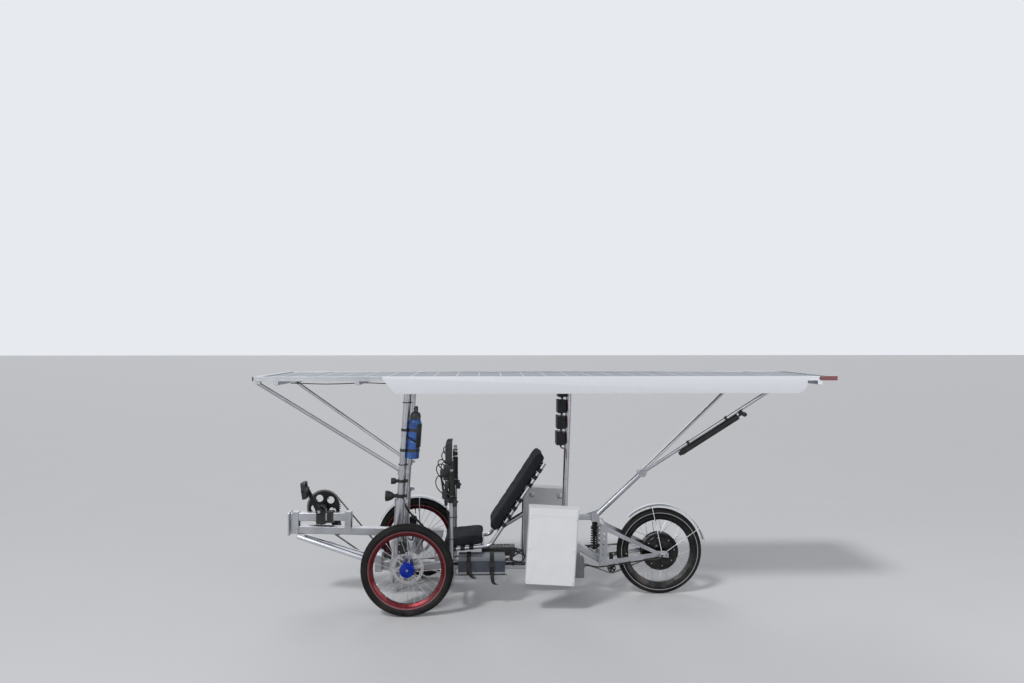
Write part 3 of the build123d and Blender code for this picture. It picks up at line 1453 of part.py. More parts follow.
# Crank set with its pierced, toothed chainring and tapered arms
ring_body = Pos(crank_x, 0, crank_z) * sprocket(ring_teeth, chain_y)
with BuildPart() as crankset:
    add(ring_body)
    disc(crank_x, (-crank_inner - crank_thick, crank_inner + crank_thick), crank_z, spindle_radius)
    disc(crank_x, (chain_y - 2, chain_y + 2), crank_z, ring_pitch_radius - 8)
    for number in range(5):
        place = Vector(ring_hole_place, 0, 0).rotate(Axis.Y, 72.0 * number + ring_hole_turn)
        hole_y = (chain_y - 9, chain_y + 9)
        disc(crank_x + place.X, hole_y, crank_z + place.Z, ring_hole_radius, Mode.SUBTRACT)
    disc(crank_x, (chain_y - 5, crank_inner), crank_z, spider_radius)
    for side, turn in ((-1, crank_angle), (1, crank_angle + 180)):
        end = Vector(crank_length, 0, 0).rotate(Axis.Y, -turn)
        across = Vector(-end.Z, 0, end.X).normalized()
        inner = side * crank_inner
        with BuildSketch(Plane.XZ.offset(-inner)):
            with Locations((crank_x, crank_z)):
                Circle(crank_eye)
            with Locations((crank_x + end.X, crank_z + end.Z)):
                Circle(pedal_eye)
            with BuildLine():
                Polyline(
                    (crank_x + across.X * 14, crank_z + across.Z * 14),
                    (crank_x + end.X + across.X * 10, crank_z + end.Z + across.Z * 10),
                    (crank_x + end.X - across.X * 10, crank_z + end.Z - across.Z * 10),
                    (crank_x - across.X * 14, crank_z - across.Z * 14),
                    close=True,
                )
            make_face()
        extrude(amount=-side * crank_thick)
        outer = side * (crank_inner + crank_thick)
        disc(crank_x + end.X, (inner, outer + side * 96), crank_z + end.Z, pedal_axle)
pieces["crankset"] = crankset

# Pedals: pierced platforms on a barrel
for name, side, turn in (("left", -1, crank_angle), ("right", 1, crank_angle + 180)):
    end = Vector(crank_length, 0, 0).rotate(Axis.Y, -turn)
    place = Vector(crank_x + end.X, side * (crank_inner + crank_thick + pedal_place), crank_z + end.Z)
    with BuildPart() as pedal:
        with BuildSketch(Plane(origin=place, x_dir=(0, 1, 0), z_dir=(1, 0, 0.12))):
            RectangleRounded(pedal_wide, pedal_long, 12)
            for way in (-1, 1):
                with Locations((0, way * (pedal_long / 4 + 2))):
                    RectangleRounded(pedal_wide - 28, pedal_long / 2 - 24, 5, mode=Mode.SUBTRACT)
        extrude(amount=pedal_thick / 2, both=True)
        disc(place.X, (place.Y - pedal_wide / 2, place.Y + pedal_wide / 2), place.Z, pedal_barrel + 2)
        disc(
            place.X,
            (side * crank_inner, side * (crank_inner + crank_thick + 120)),
            place.Z,
            pedal_axle + running,
            Mode.SUBTRACT,
        )
    pieces[f"{name}_pedal"] = pedal

for name, piece in pieces.items():
    piece.part.label = name
    export_step(piece.part, f"parts/{name}.step")
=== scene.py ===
import bpy
import bmesh
import math
from mathutils import Matrix, Vector


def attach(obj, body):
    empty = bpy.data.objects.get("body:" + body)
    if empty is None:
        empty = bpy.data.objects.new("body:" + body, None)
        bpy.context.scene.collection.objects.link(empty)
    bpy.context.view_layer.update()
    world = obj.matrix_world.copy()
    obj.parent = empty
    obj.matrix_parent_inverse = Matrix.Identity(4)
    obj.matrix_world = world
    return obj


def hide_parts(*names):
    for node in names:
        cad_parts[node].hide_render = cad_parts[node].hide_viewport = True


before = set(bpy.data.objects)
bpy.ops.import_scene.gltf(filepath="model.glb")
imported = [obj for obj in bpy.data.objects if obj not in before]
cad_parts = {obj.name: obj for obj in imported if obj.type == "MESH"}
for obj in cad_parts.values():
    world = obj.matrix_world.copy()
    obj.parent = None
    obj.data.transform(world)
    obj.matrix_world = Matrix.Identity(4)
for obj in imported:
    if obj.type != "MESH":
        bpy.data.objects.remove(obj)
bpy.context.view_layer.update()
print("frame loaded:", len(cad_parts), "nodes")

# camera at the photo's place: metres and degrees, horizon in the middle of the picture
cameraSetup = {
    "place": (-0.330, -4.606, 1.494), "turn": (90.0, 0.0, -1.8), "lens": 27.42, "sensor": 36.0, "far": 200,
}
cameraTurn = [math.radians(turn) for turn in cameraSetup["turn"]]
bpy.ops.object.select_all(action="DESELECT")
bpy.ops.object.camera_add(location=cameraSetup["place"], rotation=cameraTurn)
camera = bpy.context.object
camera.name = "photoCamera"
camera.data.lens = cameraSetup["lens"]
camera.data.sensor_width = cameraSetup["sensor"]
camera.data.clip_end = cameraSetup["far"]
bpy.context.scene.camera = camera
bpy.context.scene.view_settings.view_transform = "Standard"

# places of the frame that several pieces share, in metres
axleZ = 0.253
frontX = -0.767
frontAxle = {"left": (frontX, -0.350, axleZ), "right": (frontX, 0.350, axleZ)}
rearAxle = (0.688, 0.0, axleZ)
kingpinY = 0.262
crankX, crankZ = -1.300, 0.513
barX, barY = -0.530, 0.270
sides = ((-1, "left"), (1, "right"))
mastLine = {"baseX": -0.853, "baseZ": 0.137, "lean": 0.0663, "y": 0.190, "radius": 0.018}


# middle of the left mast at a height
def mastX(z):
    return mastLine["baseX"] + mastLine["lean"] * (z - mastLine["baseZ"])


# node helpers


# settings go on the node, links on its inputs: a socket is joined, a value is set
def addNode(tree, kind, links=None, **settings):
    node = tree.nodes.new(kind)
    for key, value in settings.items():
        setattr(node, key, value)
    for key, value in (links or {}).items():
        if isinstance(value, bpy.types.NodeSocket):
            tree.links.new(value, node.inputs[key])
        else:
            node.inputs[key].default_value = value
    return node


def maths(tree, operation, *values, clamp=False):
    node = addNode(tree, "ShaderNodeMath", dict(enumerate(values)), operation=operation, use_clamp=clamp)
    return node.outputs[0]


def vectorMaths(tree, operation, *values):
    return addNode(tree, "ShaderNodeVectorMath", dict(enumerate(values)), operation=operation).outputs


def ramp(tree, value, start=0.0, end=1.0, low=0.0, high=1.0):
    limits = {"From Min": start, "From Max": end, "To Min": low, "To Max": high}
    return addNode(tree, "ShaderNodeMapRange", {"Value": value, **limits}).outputs[0]


def noise(tree, place, scale, detail, roughness=0.5):
    links = {"Vector": place, "Scale": scale, "Detail": detail, "Roughness": roughness}
    return addNode(tree, "ShaderNodeTexNoise", links).outputs["Fac"]


def parted(tree, place):
    return addNode(tree, "ShaderNodeSeparateXYZ", {0: place}).outputs


def mixColor(tree, factor, low, high):
    low, high = [color if isinstance(color, bpy.types.NodeSocket) else (*color, 1) for color in (low, high)]
    return addNode(tree, "ShaderNodeMix", {0: factor, 6: low, 7: high}, data_type="RGBA").outputs[2]


# effects that several finishes share: each reads its inputs from pick and returns what it gives


# long fine lines of drawn or brushed metal
def drawnGrain(tree, pick):
    spread = vectorMaths(tree, "MULTIPLY", pick["Vector"], pick["Stretch"])[0]
    lines = noise(tree, spread, 6.0, 5.0, 0.7)
    cloud = noise(tree, pick["Vector"], 9.0, 4.0)
    half = maths(tree, "MULTIPLY", maths(tree, "ADD", lines, cloud), 0.5)
    rough = ramp(tree, half, 0.3, 0.7, pick["Rough Low"], pick["Rough High"])
    return {"Rough": rough, "Height": lines, "Shade": ramp(tree, half, 0.3, 0.7)}


# dust that thickens towards the ground, broken up by noise
def roadDust(tree, pick):
    fall = ramp(tree, parted(tree, pick["Vector"])["Z"], 0.0, pick["Top"], 1.0, 0.12)
    broken = ramp(tree, noise(tree, pick["Vector"], 14.0, 7.0, 0.65), 0.42, 0.68)
    patches = maths(tree, "MULTIPLY", fall, broken)
    return {"Mask": maths(tree, "MULTIPLY", patches, pick["Amount"], clamp=True)}


# small grain of moulded plastic and rubber
def fineStipple(tree, pick):
    grain = addNode(tree, "ShaderNodeTexVoronoi", {"Vector": pick["Vector"], "Scale": pick["Scale"]})
    cloud = noise(tree, pick["Vector"], 22.0, 5.0)
    rough = ramp(tree, cloud, 0.35, 0.65, pick["Rough Low"], pick["Rough High"])
    return {"Rough": rough, "Height": grain.outputs["Distance"], "Shade": ramp(tree, cloud, 0.35, 0.65)}


# short thin scratches in two directions
def scuffs(tree, pick):
    masks = []
    for turn, stretch in (((0.3, 0.2, 0.9), (1.0, 26.0, 26.0)), ((0.5, 1.1, 0.1), (22.0, 1.2, 22.0))):
        links = {"Vector": pick["Vector"], "Rotation": turn, "Scale": stretch}
        place = addNode(tree, "ShaderNodeMapping", links).outputs[0]
        masks.append(ramp(tree, noise(tree, place, pick["Scale"], 2.0), 0.66, 0.74))
    return {"Mask": maths(tree, "MULTIPLY", maths(tree, "MAXIMUM", *masks), pick["Amount"], clamp=True)}


# over and under threads
def weave(tree, pick):
    parts = parted(tree, pick["Vector"])
    waves = [maths(tree, "SINE", maths(tree, "MULTIPLY", parts[axis], pick["Threads"])) for axis in "XY"]
    lift = ramp(tree, maths(tree, "MULTIPLY", *waves), -1.0)
    return {"Height": lift, "Shade": maths(tree, "MULTIPLY", lift, noise(tree, pick["Vector"], 12.0, 6.0))}


# distance from a wheel's axle
def wheelSpan(tree, pick):
    apart = vectorMaths(tree, "SUBTRACT", pick["Vector"], pick["Axle"])[0]
    flat = vectorMaths(tree, "MULTIPLY", apart, (1, 0, 1))[0]
    return {"Radius": vectorMaths(tree, "LENGTH", flat)["Value"], "Across": parted(tree, apart)["Y"]}


effects = {  # inputs beside Vector, with their usual values
    drawnGrain: {"Stretch": (4, 120, 120), "Rough Low": 0.25, "Rough High": 0.45},
    roadDust: {"Amount": 0.4, "Top": 0.6},
    fineStipple: {"Scale": 900.0, "Rough Low": 0.4, "Rough High": 0.6},
    scuffs: {"Scale": 30.0, "Amount": 0.5},
    weave: {"Threads": 900.0},
    wheelSpan: {"Axle": (0, 0, 0)},
}
for effect, inputs in effects.items():
    group = bpy.data.node_groups.new(effect.__name__, "ShaderNodeTree")
    for label, value in {"Vector": (0, 0, 0), **inputs}.items():
        kind = "NodeSocketVector" if isinstance(value, tuple) else "NodeSocketFloat"
        group.interface.new_socket(name=label, in_out="INPUT", socket_type=kind).default_value = value
    results = effect(group, group.nodes.new("NodeGroupInput").outputs)
    for label in results:
        group.interface.new_socket(name=label, in_out="OUTPUT", socket_type="NodeSocketFloat")
    made = group.nodes.new("NodeGroupOutput")
    for label, socket in results.items():
        group.links.new(socket, made.inputs[label])
print("shared effects made:", len(bpy.data.node_groups))


# finishes

dustLook = {"color": (0.33, 0.30, 0.26), "rough": 0.85}
coatRough = 0.08


# a material under way: its grain, its masks by place, and a close that lays dust and relief on it
class Finish:
    def __init__(self, name, metallic=0.0, coat=0.0, specular=0.5, stretch=None, scale=None, rough=(0, 1)):
        self.material = bpy.data.materials.new(name)
        self.material.use_nodes = True
        self.tree = self.material.node_tree
        self.inputs = self.tree.nodes["Principled BSDF"].inputs
        self.place = self.tree.nodes.new("ShaderNodeTexCoord").outputs["Object"]
        self.put({"Metallic": metallic, "Coat Weight": coat, "Coat Roughness": coatRough})
        self.put({"Specular IOR Level": specular})
        span = {"Rough Low": rough[0], "Rough High": rough[1]}
        if stretch:
            self.grain = self.effect("drawnGrain", {"Stretch": stretch, **span})
        elif scale:
            self.grain = self.effect("fineStipple", {"Scale": scale, **span})

    # values and sockets go on the shader
    def put(self, links):
        for label, value in links.items():
            if isinstance(value, bpy.types.NodeSocket):
                self.tree.links.new(value, self.inputs[label])
            else:
                self.inputs[label].default_value = value

    def effect(self, name, values, place=None):
        links = {"Vector": place or self.place, **values}
        return addNode(self.tree, "ShaderNodeGroup", links, node_tree=bpy.data.node_groups[name]).outputs

    # the colour between two that the grain's shade picks
    def tone(self, low, high):
        return self.mix(self.grain["Shade"], low, high)

    def mix(self, mask, below, above):
        return mixColor(self.tree, mask, below, above)

    def axis(self, name):
        return parted(self.tree, self.place)[name]

    # distance from the machine's middle plane
    def aside(self):
        return maths(self.tree, "ABSOLUTE", self.axis("Y"))

    # 1 where the value lies between low and high
    def band(self, value, low, high, soft=0.0006):
        rise = ramp(self.tree, value, low - soft, low + soft)
        return maths(self.tree, "MULTIPLY", rise, ramp(self.tree, value, high - soft, high + soft, 1.0, 0.0))

    # 1 above a limit along one axis, or below it
    def above(self, axis, limit, soft=0.0004):
        return ramp(self.tree, self.axis(axis), limit - soft, limit + soft)

    def below(self, axis, limit, soft=0.0004):
        return ramp(self.tree, self.axis(axis), limit + soft, limit - soft)

    def allOf(self, first, *others):
        for mask in others:
            first = maths(self.tree, "MULTIPLY", first, mask)
        return first

    def anyOf(self, first, *others):
        for mask in others:
            first = maths(self.tree, "MAXIMUM", first, mask)
        return first

    # dust as amount and the height where it ends, relief as strength and distance
    def close(self, color, dust, relief, rough=None, height=None):
        mask = self.effect("roadDust", {"Amount": dust[0], "Top": dust[1]})["Mask"]
        dull = ramp(self.tree, mask, low=rough or self.grain["Rough"], high=dustLook["rough"])
        links = {"Height": height or self.grain["Height"], "Strength": relief[0], "Distance": relief[1]}
        bump = addNode(self.tree, "ShaderNodeBump", links).outputs["Normal"]
        self.put({"Base Color": self.mix(mask, color, dustLook["color"]), "Roughness": dull, "Normal": bump})
        return self.material


metalLooks = {  # dark and light of the grain, direction of the lines, roughness range, dust
    "brushedAlloy": ((0.30, 0.31, 0.33), (0.50, 0.51, 0.54), (5, 110, 110), (0.22, 0.40), 0.22),
    "mastAlloy": ((0.36, 0.37, 0.39), (0.54, 0.55, 0.58), (110, 110, 5), (0.22, 0.36), 0.12),
    "polishedAlloy": ((0.58, 0.59, 0.62), (0.78, 0.79, 0.82), (5, 60, 60), (0.08, 0.18), 0.12),
    "railAlloy": ((0.40, 0.41, 0.43), (0.52, 0.53, 0.56), (3, 140, 140), (0.26, 0.38), 0.03),
    "guardAlloy": ((0.54, 0.55, 0.58), (0.72, 0.73, 0.76), (30, 3, 30), (0.12, 0.24), 0.25),
    "plainSteel": ((0.34, 0.34, 0.35), (0.56, 0.56, 0.57), (40, 40, 40), (0.26, 0.42), 0.20),
    "blackAnodised": ((0.018, 0.018, 0.020), (0.040, 0.040, 0.043), (20, 70, 70), (0.30, 0.48), 0.18),
    "rimBlack": ((0.015, 0.015, 0.016), (0.035, 0.035, 0.038), (30, 30, 30), (0.28, 0.42), 0.20),
    "chainSteel": ((0.12, 0.115, 0.11), (0.28, 0.27, 0.26), (60, 60, 60), (0.28, 0.45), 0.25),
    "springBlack": ((0.012, 0.012, 0.013), (0.030, 0.030, 0.032), (40, 40, 40), (0.22, 0.36), 0.15),
}
plasticLooks = {  # dark and light, grain scale, roughness range, dust, scuffs, gloss, relief
    "blackPlastic": ((0.012, 0.012, 0.013), (0.028, 0.028, 0.029), 700.0, (0.38, 0.58), 0.09, 0.2, 0.28, 0.1),
    "gripRubber": ((0.010, 0.010, 0.010), (0.022, 0.022, 0.022), 500.0, (0.62, 0.82), 0.12, 0.10, 0.28, 0.10),
    "bandWhite": ((0.655, 0.668, 0.700), (0.665, 0.678, 0.710), 200.0, (0.42, 0.48), 0.0, 0.0, 0.5, 0.015),
    "boxWhite": ((0.670, 0.678, 0.695), (0.690, 0.698, 0.715), 260.0, (0.40, 0.50), 0.05, 0.03, 0.5, 0.015),
    "cableBlack": ((0.008, 0.008, 0.009), (0.016, 0.016, 0.018), 300.0, (0.36, 0.50), 0.10, 0.06, 0.28, 0.10),
    "cableRed": ((0.120, 0.008, 0.010), (0.220, 0.014, 0.016), 300.0, (0.34, 0.48), 0.10, 0.06, 0.28, 0.10),
}


def makeMetal(name, low, high, stretch, rough, dust):
    look = Finish(name, metallic=1.0, stretch=stretch, rough=rough)
    scratch = look.effect("scuffs", {"Scale": 18.0, "Amount": 0.35})["Mask"]
    bright = look.mix(scratch, look.tone(low, high), [min(1.0, part * 1.25 + 0.04) for part in high])
    return look.close(bright, (dust, 0.55), (0.12, 0.0006))


def makePlastic(name, low, high, scale, rough, dust, scuffing, specular, relief):
    look = Finish(name, scale=scale, rough=rough, specular=specular)
    scratch = look.effect("scuffs", {"Scale": 14.0, "Amount": scuffing})["Mask"]
    paledColor = look.mix(scratch, look.tone(low, high), [min(0.86, part * 1.05 + 0.02) for part in high])
    return look.close(paledColor, (dust, 0.6), (relief, 0.0004))


# rubber with one thin stripe round the wall, and the tread crown painted paler all round as a highlight
def makeTyreRubber(name, axle, stripeLow, stripeColor):
    look = Finish(name, scale=420.0, rough=(0.62, 0.82), specular=0.18)
    radius = look.effect("wheelSpan", {"Axle": axle})["Radius"]
    color = look.tone((0.0045, 0.0045, 0.005), (0.011, 0.011, 0.012))
    striped = look.mix(look.band(radius, stripeLow, stripeLow + 0.0026), color, stripeColor)
    # painted highlight: the tread crown is drawn paler all round, standing in for the sunlit top of the tread
    paledColor = look.mix(look.band(radius, 0.2490, 1.0, 0.0012), striped, (0.019, 0.018, 0.018))
    return look.close(paledColor, (0.07, 0.7), (0.2, 0.0005))


# front rims: dark red walls with a paler edge at the tyre painted as a highlight, and the spoke bed darkened
# as painted shade
def makeRedRim(name, axle):
    look = Finish(name, metallic=1.0, coat=0.3, stretch=(30, 30, 30), rough=(0.20, 0.34))
    radius = look.effect("wheelSpan", {"Axle": axle})["Radius"]
    red = look.tone((0.085, 0.004, 0.009), (0.145, 0.007, 0.014))
    # painted shade: the recessed spoke bed is drawn in a darker red
    bedShaded = look.mix(look.band(radius, -1.0, 0.1862, 0.0010), red, (0.034, 0.004, 0.006))
    # painted highlight: a paler red line along the rim's edge at the tyre
    edgeHighlighted = look.mix(look.band(radius, 0.2050, 1.0, 0.0004), bedShaded, (0.230, 0.080, 0.090))
    return look.close(edgeHighlighted, (0.14, 0.5), (0.08, 0.0004))


# steel spokes and rotor round a coloured hub shell
def makeHubAndSpokes(name, axle, shellColor, shellRadius, shellReach):
    look = Finish(name, metallic=1.0, stretch=(50, 50, 50), rough=(0.18, 0.34))
    span = look.effect("wheelSpan", {"Axle": axle})
    near = look.band(maths(look.tree, "ABSOLUTE", span["Across"]), -1.0, shellReach)
    shell = look.allOf(look.band(span["Radius"], -1.0, shellRadius), near)
    steel = look.tone((0.42, 0.42, 0.43), (0.66, 0.66, 0.67))
    return look.close(look.mix(shell, steel, shellColor), (0.2, 0.5), (0.08, 0.0004))


# red at the rear end's outer strips, dark plastic at the rail caps
def makeRoofEnds(name):
    look = Finish(name, coat=0.3, scale=200.0, rough=(0.2, 0.34))
    red = look.tone((0.105, 0.005, 0.011), (0.160, 0.008, 0.018))
    dark = look.tone((0.012, 0.012, 0.013), (0.028, 0.028, 0.030))
    outside = look.band(look.aside(), 0.37215, 1.0, 0.0001)
    return look.close(look.mix(outside, dark, red), (0.05, 0.6), (0.05, 0.0003))


# bottle in blue with a black cap and black holders
def makeBottleAndCap(name):
    look = Finish(name, coat=0.2, scale=260.0, rough=(0.24, 0.38))
    blue = look.tone((0.010, 0.055, 0.230), (0.020, 0.105, 0.360))
    dark = look.tone((0.010, 0.010, 0.011), (0.026, 0.026, 0.028))
    holders = [look.band(look.axis("Z"), z - 0.0088, z + 0.0088, 0.0003) for z in (0.882, 0.996)]
    black = look.anyOf(look.above("Z", 1.0578), *holders)
    return look.close(look.mix(black, blue, dark), (0.12, 0.8), (0.08, 0.0004))


# black electronics box, and a grey socket box behind it
def makePowerBoxes(name):
    look = Finish(name, scale=600.0, rough=(0.40, 0.56))
    dark = look.tone((0.012, 0.012, 0.013), (0.026, 0.026, 0.027))
    grey = look.tone((0.150, 0.155, 0.160), (0.185, 0.190, 0.197))
    return look.close(look.mix(look.above("X", 0.100), dark, grey), (0.15, 0.6), (0.10, 0.0004))


# dark battery case with a paler lid, standing in a bare metal tray
def makeBatteryPack(name):
    look = Finish(name, coat=0.1, scale=420.0, rough=(0.36, 0.50))
    case = look.tone((0.019, 0.024, 0.038), (0.030, 0.037, 0.056))
    lid = look.tone((0.105, 0.115, 0.135), (0.135, 0.148, 0.170))
    closed = look.mix(look.above("Z", 0.2545), case, lid)
    tray = look.below("Z", 0.1915)
    look.put({"Metallic": tray})
    return look.close(look.mix(tray, closed, (0.300, 0.310, 0.325)), (0.10, 0.6), (0.08, 0.0004))


# bare crank rail whose two clamps round the bottom bracket are black
def makeRailAndClamps(name):
    look = Finish(name, stretch=(5, 110, 110), rough=(0.24, 0.42))
    bare = look.tone((0.32, 0.33, 0.35), (0.52, 0.53, 0.56))
    black = look.tone((0.014, 0.014, 0.015), (0.034, 0.034, 0.036))
    along = [look.band(look.axis("X"), *ends, 0.0002) for ends in ((-1.3286, -1.2756), (-1.2664, -1.2296))]
    outside = look.band(look.aside(), 0.0226, 1.0, 0.0002)
    around = look.anyOf(outside, look.above("Z", 0.4942), look.below("Z", 0.4458))
    clamps = look.allOf(look.anyOf(*along), around)
    look.put({"Metallic": ramp(look.tree, clamps, low=1.0, high=0.3)})
    return look.close(look.mix(clamps, bare, black), (0.3, 0.6), (0.12, 0.0006))


# dark cells under clear glass with a pale rim, and a pale back sheet with its socket boxes below
def makeSolarGlass(name):
    look = Finish(name, coat=0.25, specular=0.30)
    cell = 0.1265

    def gridLine(axis, offset, width):
        moved = maths(look.tree, "ADD", look.axis(axis), offset)
        part = maths(look.tree, "PINGPONG", moved, cell / 2)
        return ramp(look.tree, part, width, width * 1.6, 1.0, 0.0)

    cloud = noise(look.tree, look.place, 5.0, 3.0)
    blue = look.mix(cloud, (0.006, 0.010, 0.034), (0.014, 0.024, 0.070))
    wired = look.mix(gridLine("Y", 0.0, 0.0006), blue, (0.42, 0.44, 0.46))
    gaps = look.anyOf(gridLine("X", 0.0, 0.0016), gridLine("Y", cell / 2, 0.0016))
    cells = look.mix(gaps, wired, (0.60, 0.62, 0.64))
    framed = look.mix(look.band(look.aside(), 0.3277, 1.0, 0.0004), cells, (0.62, 0.63, 0.65))
    sheet = look.mix(cloud, (0.40, 0.41, 0.43), (0.52, 0.53, 0.55))
    boxes = look.allOf(look.below("Z", 1.2948), look.band(look.axis("Y"), 0.129, 0.212, 0.0004))
    under = look.mix(boxes, sheet, (0.014, 0.014, 0.015))
    color = look.mix(look.below("Z", 1.2976), framed, under)
    return look.close(color, (0.06, 3.0), (0.03, 0.0005), ramp(look.tree, cloud, low=0.30, high=0.42), cloud)


# woven pad cover; turn lays the threads along the pad
def makeSeatWeave(name, turn):
    look = Finish(name, specular=0.15)
    laid = addNode(look.tree, "ShaderNodeMapping", {"Vector": look.place, "Rotation": (0.0, turn, 0.0)})
    threads = look.effect("weave", {"Threads": 2600.0}, laid.outputs[0])
    cloud = noise(look.tree, look.place, 26.0, 5.0)
    base = look.mix(threads["Shade"], (0.0055, 0.006, 0.008), (0.021, 0.022, 0.028))
    faded = look.mix(cloud, base, (0.013, 0.014, 0.018))
    look.put({"Sheen Weight": 0.02, "Sheen Roughness": 0.45})
    rough = ramp(look.tree, cloud, low=0.78, high=0.95)
    return look.close(faded, (0.03, 0.9), (0.35, 0.0006), rough, threads["Height"])


# webbing of the straps and of the seat's lacing
def makeWebbing(name):
    look = Finish(name, specular=0.25)
    threads = look.effect("weave", {"Threads": 3400.0})
    color = look.mix(threads["Shade"], (0.005, 0.005, 0.006), (0.018, 0.018, 0.020))
    rough = ramp(look.tree, threads["Shade"], low=0.6, high=0.8)
    return look.close(color, (0.10, 0.6), (0.4, 0.0005), rough, threads["Height"])


# mirror face: bright silver with faint smears
def makeMirrorFace(name):
    look = Finish(name, metallic=1.0)
    smear = look.effect("scuffs", {"Scale": 22.0, "Amount": 0.6})["Mask"]
    color = look.mix(smear, (0.86, 0.88, 0.90), (0.74, 0.76, 0.78))
    look.put({"Base Color": color, "Roughness": ramp(look.tree, smear, low=0.02, high=0.12)})
    return look.material


# lamp glass with fine upright flutes over a bright bowl
def makeLampGlass(name):
    look = Finish(name, coat=1.0)
    wave = maths(look.tree, "SINE", maths(look.tree, "MULTIPLY", look.axis("Y"), 1600.0))
    flute = ramp(look.tree, wave, -1.0)
    color = look.mix(flute, (0.62, 0.64, 0.66), (0.80, 0.82, 0.84))
    bump = addNode(look.tree, "ShaderNodeBump", {"Height": wave, "Strength": 0.4, "Distance": 0.0008})
    rough = ramp(look.tree, flute, low=0.05, high=0.15)
    look.put({"Base Color": color, "Roughness": rough, "Normal": bump.outputs["Normal"]})
    return look.material


singleLooks = {
    "roofEnds": makeRoofEnds, "bottleAndCap": makeBottleAndCap, "railAndClamps": makeRailAndClamps,
    "powerBoxes": makePowerBoxes, "batteryPack": makeBatteryPack, "blackWebbing": makeWebbing,
    "mirrorFace": makeMirrorFace, "lampGlass": makeLampGlass, "solarGlass": makeSolarGlass,
}
wheelLooks = {  # axle, stripe's radius and colour, shell's colour, radius and reach
    "left": (frontAxle["left"], 0.2105, (0.060, 0.060, 0.062), (0.008, 0.032, 0.34), 0.0415, 0.0305),
    "right": (frontAxle["right"], 0.2105, (0.060, 0.060, 0.062), (0.008, 0.032, 0.34), 0.0415, 0.0305),
    "rear": (rearAxle, 0.2255, (0.40, 0.41, 0.42), (0.020, 0.020, 0.022), 0.1125, 0.0900),
}
padTurns = {"cushionWeave": math.atan2(0.020, 0.237), "backWeave": math.atan2(0.441, 0.294)}
finishes = {name: makeMetal(name, *row) for name, row in metalLooks.items()}
finishes.update({name: makePlastic(name, *row) for name, row in plasticLooks.items()})
finishes.update({name: make(name) for name, make in singleLooks.items()})
finishes.update({name: makeSeatWeave(name, turn) for name, turn in padTurns.items()})
for name, (axle, stripe, stripeColor, *shell) in wheelLooks.items():
    finishes[f"{name}Tyre"] = makeTyreRubber(f"{name}TyreRubber", axle, stripe, stripeColor)
    finishes[f"{name}Hub"] = makeHubAndSpokes(f"{name}HubAndSpokes", axle, *shell)
    if name != "rear":
        finishes[f"{name}Rim"] = makeRedRim(f"{name}RedRim", axle)

finishNodes = {  # finish: the nodes that wear it
    "brushedAlloy": "keel_frame front_crossbeam boom rear_frame seat_frame box_carriers swingarm handlebar "
                    "left_knuckle right_knuckle",
    "mastAlloy": "front_masts front_struts rear_mast rear_struts",
    "polishedAlloy": "boom_braces",
    "railAlloy": "roof_rails roof_beams",
    "guardAlloy": "rear_mudguard right_mudguard",
    "plainSteel": "chain left_drag_rod right_drag_rod cassette",
    "blackAnodised": "charge_controllers rear_shock brake_levers left_caliper right_caliper crankset",
    "blackPlastic": "seat_pad chain_idlers lamps floor_pump mirror left_pedal right_pedal",
    "gripRubber": "grips", "cableBlack": "mast_cables", "bandWhite": "side_bands", "boxWhite": "side_boxes",
    "railAndClamps": "crank_rail", "solarGlass": "solar_modules", "roofEnds": "roof_markers",
    "batteryPack": "battery_pack", "powerBoxes": "power_box", "bottleAndCap": "bottle",
    "leftTyre": "left_front_tyre", "rightTyre": "right_front_tyre", "rearTyre": "rear_tyre",
    "leftRim": "left_front_rim", "rightRim": "right_front_rim", "rimBlack": "rear_rim",
    "leftHub": "left_front_hub", "rightHub": "right_front_hub", "rearHub": "hub_motor",
}
for look, nodeNames in finishNodes.items():
    for nodeName in nodeNames.split():
        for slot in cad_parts[nodeName].material_slots:
            slot.material = finishes[look]
print("finishes on", sum(len(names.split()) for names in finishNodes.values()), "nodes")


# ways of working that the pieces share

lookSlots = {  # finish of a piece: its material slot, black_plastic where none is given
    "plainSteel": "steel", "chainSteel": "chain_steel", "railAlloy": "roof_rail", "bandWhite": "band_white",
    "blackAnodised": "black_metal", "springBlack": "black_metal", "lampGlass": "lamp_glass",
    "cushionWeave": "seat_fabric", "backWeave": "seat_fabric",
    "leftTyre": "tyre_rubber", "rightTyre": "tyre_rubber", "rearTyre": "tyre_rubber",
}


def pickOnly(piece):
    bpy.ops.object.select_all(action="DESELECT")
    piece.select_set(True)
    bpy.context.view_layer.objects.active = piece


# edit mode with only the wanted faces or edges selected, where the work is done
def editParts(piece, kind, wanted, work):
    pickOnly(piece)
    bpy.ops.object.mode_set(mode="EDIT")
    bpy.ops.mesh.select_mode(type=kind)
    bpy.ops.mesh.select_all(action="DESELECT")
    edited = bmesh.from_edit_mesh(piece.data)
    for part in edited.faces if kind == "FACE" else edited.edges:
        if wanted(part):
            part.select_set(True)
    bmesh.update_edit_mesh(piece.data)
    work()
    bpy.ops.object.mode_set(mode="OBJECT")


# bevel of the wanted edges, or of all
def roundEdges(piece, corner, segments, wanted=lambda edge: True, **settings):
    editParts(piece, "EDGE", wanted, lambda: bpy.ops.mesh.bevel(offset=corner, segments=segments, **settings))


def dropFaces(piece, wanted, kind="ONLY_FACE"):
    editParts(piece, "FACE", wanted, lambda: bpy.ops.mesh.delete(type=kind))


# test for edges along an axis
def runsAlong(axis):
    return lambda edge: abs((edge.verts[0].co - edge.verts[1].co).normalized()[axis]) > 0.9


# a primitive, made alone and named
def startPiece(name, adder, **sizes):
    bpy.ops.object.select_all(action="DESELECT")
    adder(**sizes)
    piece = bpy.context.object
    piece.name = name
    piece.data.name = name
    return piece


# moves the mesh and leaves the object at the origin
def placeMesh(piece, matrix):
    piece.data.transform(matrix @ piece.matrix_world)
    piece.matrix_world = Matrix()


